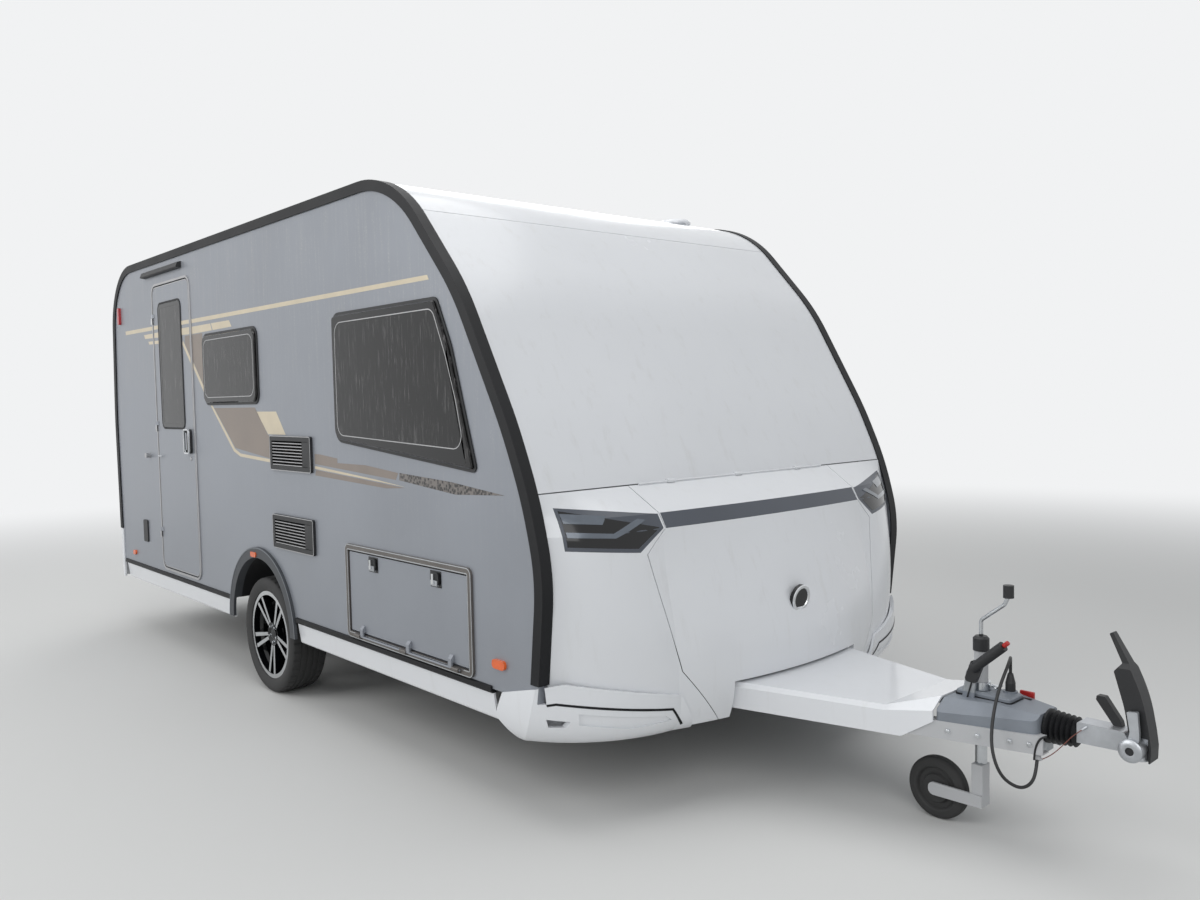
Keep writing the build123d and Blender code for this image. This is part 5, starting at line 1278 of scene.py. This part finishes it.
# Screw of the clamp: bar and knob beside the jockey tube
CLAMP_SCREW = [
    (rod, (JOCKEY_X + 34, 12, 533), (JOCKEY_X + 62, 12, 533), 6),
    (rod, (JOCKEY_X + 58, -16, 533), (JOCKEY_X + 58, 40, 533), 4.5, 2),
]
BEAM_BOLTS_X = (3505, 3600, 3700, 3760)
BEAM_BOLTS_Z = 397
BRACKET = [(3817, -95, 435), (3777, -95, 425), (3774, -95, 346)]
PAD_PLACE = (4063, 66, 442)
# Turned parts of the coupling's pads: name, finish, profile, steps and whether it is a ring
PAD_PARTS = (
    ("pad_rings", cast_silver, [(13, 0.1), (35, 0.1), (36.5, 2), (32, 6), (20, 8), (13, 7)], 36, True),
    ("pad_centres", moulded_black, [(0, 0.1), (13.5, 0.1), (13.5, 4), (0, 4)], 24, False),
)
# Lining of the coupling's handle: x, z
LINING = [(4043, 492), (4033, 560), (3999.5, 673), (3997.5, 672), (4031, 559.5), (4041, 492)]
LINING_HALF = 25


class CARAVAN_OT_chassis(bpy.types.Operator):
    """Finish the chassis, axle, drawbar, coupling, jockey wheel and steadies."""

    bl_idname = "caravan.chassis"
    bl_label = "Chassis"

    def execute(self, context):
        paint_all(CHASSIS_PLAIN, CHASSIS_ZONED)
        for row in HOUSING_PARTS:
            build(*row)
        bolts = []
        for x in BEAM_BOLTS_X:
            y = BEAM_TIP_Y + BEAM_SLOPE * (BEAM_TIP_X - x) + BEAM_HALF
            for side in (RIGHT, LEFT):
                bolts.append((bolt, (x, side * y, BEAM_BOLTS_Z), (BEAM_SLOPE, side, 0), 9, 7))
        clamp = (lathe, CLAMP, (JOCKEY_X, 0, CLAMP_Z), (0, 0, 1), 32, True)
        build("drawbar_bolts", bright_zinc, [clamp, *CLAMP_SCREW, *bolts])
        line_piece("wire_bracket", BRACKET, 3.5, cord_sheath)
        x, y, z = PAD_PLACE
        for name, recipe, profile, *turned in PAD_PARTS:
            build(name, recipe, [
                (lathe, profile, (x, side * y, z), (0, side, 0), *turned) for side in (RIGHT, LEFT)])
        build("handle_lining", handle_red, [(prism, LINING, -LINING_HALF, LINING_HALF)])
        return {"FINISHED"}


# Cords, with the points of their routes

CABLE_RADIUS = 5.5
CABLE_ROUTE = [
    (3630, 35, 584), (3630, 35, 622), (3642, 11, 649), (3657, -24, 650), (3663, -58, 628),
    (3660, -90, 588), (3660, -118, 550), (3662, -144, 510), (3665, -168, 459), (3674, -192, 406),
    (3689, -205, 359), (3709, -208, 318), (3730, -195, 287), (3764, -174, 268), (3780, -136, 274),
    (3782, -100, 300), (3776, -78, 341),
]
BREAKAWAY_RADIUS = 1.5
BREAKAWAY_ROUTE = [
    (3792, -74, 348), (3808, -72, 358), (3832, -68, 380), (3858, -62, 412), (3884, -56, 446),
    (3906, -42, 466),
]


class CARAVAN_OT_cords(bpy.types.Operator):
    """Lay the connection cable and the breakaway cable."""

    bl_idname = "caravan.cords"
    bl_label = "Cords"

    def execute(self, context):
        cable = line_piece("connection_cord", CABLE_ROUTE, CABLE_RADIUS, cord_sheath)
        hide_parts("connection_cable")
        wire = line_piece("breakaway_cord", BREAKAWAY_ROUTE, BREAKAWAY_RADIUS, wire_core)
        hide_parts("breakaway_cable")
        return {"FINISHED"}


# Cabin

MATTRESS = (710, 1980, -1030, 1030, 935.3, 1073.3)
CUSHIONS = [(-895, -355, 566, 1096, 915.3, 1015), (85, 595, 566, 1096, 915.3, 1015)]
WORKTOP_Z = 1415
LIDS = [(-760, -430), (-380, -20)]
LID_Y = (-1010, -620)
TAP_X = -405
# Sides of a pad: share of the height and how far they pull in there
PAD_LEVELS = ((0.0, 10), (0.1, 2), (0.5, 6), (0.9, 2), (1.0, 12))
PAD_RADIUS = 60
# Rows up the crown: how far each is from the middle towards the rim
CROWN_SHARES = (0.85, 0.6, 0.3)


def crowned(bm, x0, x1, y0, y1, z0, z1, crown):
    """Adds a pad whose top is crowned and whose sides pull in a little at mid-height."""
    rows = []
    for share, pull in PAD_LEVELS:
        z = z0 + (z1 - z0 - crown) * share
        corners = [(x0 + pull, y0 + pull), (x1 - pull, y0 + pull),
                   (x1 - pull, y1 - pull), (x0 + pull, y1 - pull)]
        rows.append([bm.verts.new((x, y, z)) for x, y in round_corners(corners, PAD_RADIUS, 6)])
    centre = Vector(((x0 + x1) / 2, (y0 + y1) / 2))
    rim = rows[-1]
    for share in CROWN_SHARES:
        spots = [centre.lerp(vert.co.xy, share + 0.1) for vert in rim]
        rows.append([bm.verts.new((*spot, z1 - crown * share ** 3)) for spot in spots])
    for near, far in zip(rows, rows[1:]):
        bridge(bm, near, far)
    bm.faces.new(rows[0])
    bm.faces.new(rows[-1])


class CARAVAN_OT_cabin(bpy.types.Operator):
    """Finish the furniture and lay the mattress, cushions, lids and tap."""

    bl_idname = "caravan.cabin"
    bl_label = "Cabin"

    def execute(self, context):
        paint("furniture", laminate)
        pad = build("bed_mattress", ticking, [(crowned, *MATTRESS, 14)])
        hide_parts("mattress")
        build("seat_cushions", upholstery, [(crowned, *limits, 12) for limits in CUSHIONS])
        build("sink_and_hob_lids", gloss_black, [
            (block, *limits, *LID_Y, WORKTOP_Z + 0.2, WORKTOP_Z + 8, 2) for limits in LIDS])
        build("tap", chrome, [
            (rod, (TAP_X, -980, WORKTOP_Z), (TAP_X, -980, WORKTOP_Z + 150), 9),
            (rod, (TAP_X, -986, WORKTOP_Z + 145), (TAP_X - 115, -900, WORKTOP_Z + 165), 8, 2),
        ])
        return {"FINISHED"}


# Stage

CAMERA_PLACE = (4.455, -3.304, 1.586)
CAMERA_YAW = 138.419
CAMERA_PITCH = -3.095
CAMERA_ROLL = -1.251
BACKDROP = "#f1f2f3"
WORLD_STRENGTH = 0.36
FADE_FROM = 4.5
FADE_TO = 13.0
FLOOR_REACH = 120.0
# Lights: place, what it points at, size in metres and power in watts
LIGHTS = {
    "front_soft": ((7.5, -4.5, 5.2), (0.5, 0, 1.2), 6.0, 210),
    "side_soft": ((-3.0, -8.5, 5.5), (-0.5, 0, 1.2), 7.0, 380),
    "top_soft": ((0.0, 0.0, 8.5), (0, 0, 0), 8.0, 260),
    "rear_soft": ((-8.0, 6.0, 5.5), (-0.5, 0, 1.2), 7.0, 300),
}


def looked_at(tree, *rays):
    """Output that is one on rays of these kinds, which look at the surround."""
    path = add(tree, "ShaderNodeLightPath")
    seen = (path, f"Is {rays[0]} Ray")
    for ray in rays[1:]:
        most = add(tree, "ShaderNodeMath", {0: seen, 1: (path, f"Is {ray} Ray")}, operation="MAXIMUM")
        seen = (most, "Value")
    return seen


def make_world():
    """Even studio light, and a pale surround for what looks past the object."""
    world = bpy.data.worlds.new("studio")
    world.use_nodes = True
    tree = world.node_tree
    tree.nodes.clear()
    light = add(tree, "ShaderNodeBackground", {
        "Color": shade(linear("#eef2f7")), "Strength": WORLD_STRENGTH})
    pale = add(tree, "ShaderNodeBackground", {"Color": shade(linear(BACKDROP)), "Strength": 1.0})
    mix = add(tree, "ShaderNodeMixShader", {
        0: looked_at(tree, "Camera", "Glossy", "Transmission"), 1: (light, "Background"),
        2: (pale, "Background")})
    add(tree, "ShaderNodeOutputWorld", {"Surface": (mix, "Shader")})
    bpy.context.scene.world = world


def floor_material():
    """Pale studio floor that fades into the surround far from the object."""
    material = bpy.data.materials.new("studio_floor")
    material.use_nodes = True
    tree = material.node_tree
    tree.nodes.clear()
    place = add(tree, "ShaderNodeTexCoord")
    reach = add(tree, "ShaderNodeVectorMath", {0: (place, "Object")}, operation="LENGTH")
    far = add(tree, "ShaderNodeMapRange", {
        "Value": (reach, "Value"), "From Min": FADE_FROM, "From Max": FADE_TO},
        interpolation_type="SMOOTHSTEP")
    share = add(tree, "ShaderNodeMath", {0: (far, "Result"), 1: looked_at(tree, "Camera", "Glossy")},
                operation="MULTIPLY")
    matt = add(tree, "ShaderNodeBsdfDiffuse", {"Color": shade(linear("#dcdcda"))})
    glow = add(tree, "ShaderNodeEmission", {"Color": shade(linear(BACKDROP)), "Strength": 1.0})
    mix = add(tree, "ShaderNodeMixShader", {
        0: (share, "Value"), 1: (matt, "BSDF"), 2: (glow, "Emission")})
    add(tree, "ShaderNodeOutputMaterial", {"Surface": (mix, "Shader")})
    return material


class CARAVAN_OT_stage(bpy.types.Operator):
    """Set the floor, the studio light and the camera."""

    bl_idname = "caravan.stage"
    bl_label = "Stage"

    def execute(self, context):
        make_world()
        mesh = bpy.data.meshes.new("floor")
        signs = ((-1, -1), (1, -1), (1, 1), (-1, 1))
        corners = [(x * FLOOR_REACH, y * FLOOR_REACH, 0) for x, y in signs]
        mesh.from_pydata(corners, [], [(0, 1, 2, 3)])
        mesh.materials.append(floor_material())
        floor = bpy.data.objects.new("floor", mesh)
        context.scene.collection.objects.link(floor)
        for name, (place, target, size, power) in LIGHTS.items():
            lamp = bpy.data.lights.new(name, "AREA")
            lamp.shape = "SQUARE"
            lamp.size = size
            lamp.energy = power
            obj = bpy.data.objects.new(name, lamp)
            obj.location = place
            obj.rotation_mode = "QUATERNION"
            obj.rotation_quaternion = (Vector(target) - Vector(place)).to_track_quat("-Z", "Y")
            context.scene.collection.objects.link(obj)
        data = bpy.data.cameras.new("camera")
        data.lens = context.scene.caravan_sizes.lens
        data.sensor_width = 36
        data.clip_end = 400
        camera = bpy.data.objects.new("camera", data)
        turn = Matrix.Rotation(math.radians(CAMERA_YAW - 90), 4, "Z")
        turn = turn @ Matrix.Rotation(math.radians(90 + CAMERA_PITCH), 4, "X")
        turn = turn @ Matrix.Rotation(math.radians(CAMERA_ROLL), 4, "Z")
        camera.matrix_world = Matrix.Translation(CAMERA_PLACE) @ turn
        context.scene.collection.objects.link(camera)
        context.scene.camera = camera
        context.scene.view_settings.view_transform = "Standard"
        return {"FINISHED"}


STEPS = (
    CARAVAN_OT_stage, CARAVAN_OT_cords, CARAVAN_OT_shell, CARAVAN_OT_films, CARAVAN_OT_glazing,
    CARAVAN_OT_fittings, CARAVAN_OT_lamps, CARAVAN_OT_wheels, CARAVAN_OT_chassis, CARAVAN_OT_cabin,
)


class CARAVAN_PT_panel(bpy.types.Panel):
    """Lists the steps and what can be changed."""

    bl_idname = "CARAVAN_PT_panel"
    bl_label = "Travel caravan"
    bl_space_type = "VIEW_3D"
    bl_region_type = "UI"
    bl_category = "Caravan"

    def draw(self, context):
        layout = self.layout
        for group in (context.scene.caravan_colours, context.scene.caravan_sizes):
            for name in group.__annotations__:
                layout.prop(group, name)
        for step in STEPS:
            layout.operator(step.bl_idname)


CLASSES = (CaravanColours, CaravanSizes, *STEPS, CARAVAN_PT_panel)


def register():
    for item in CLASSES:
        bpy.utils.register_class(item)
    bpy.types.Scene.caravan_colours = bpy.props.PointerProperty(type=CaravanColours)
    bpy.types.Scene.caravan_sizes = bpy.props.PointerProperty(type=CaravanSizes)


def unregister():
    del bpy.types.Scene.caravan_sizes
    del bpy.types.Scene.caravan_colours
    for item in reversed(CLASSES):
        bpy.utils.unregister_class(item)


def main():
    """Runs every step in order."""
    register()
    for step in STEPS:
        group, name = step.bl_idname.split(".")
        getattr(getattr(bpy.ops, group), name)()


if __name__ == "__main__":
    main()
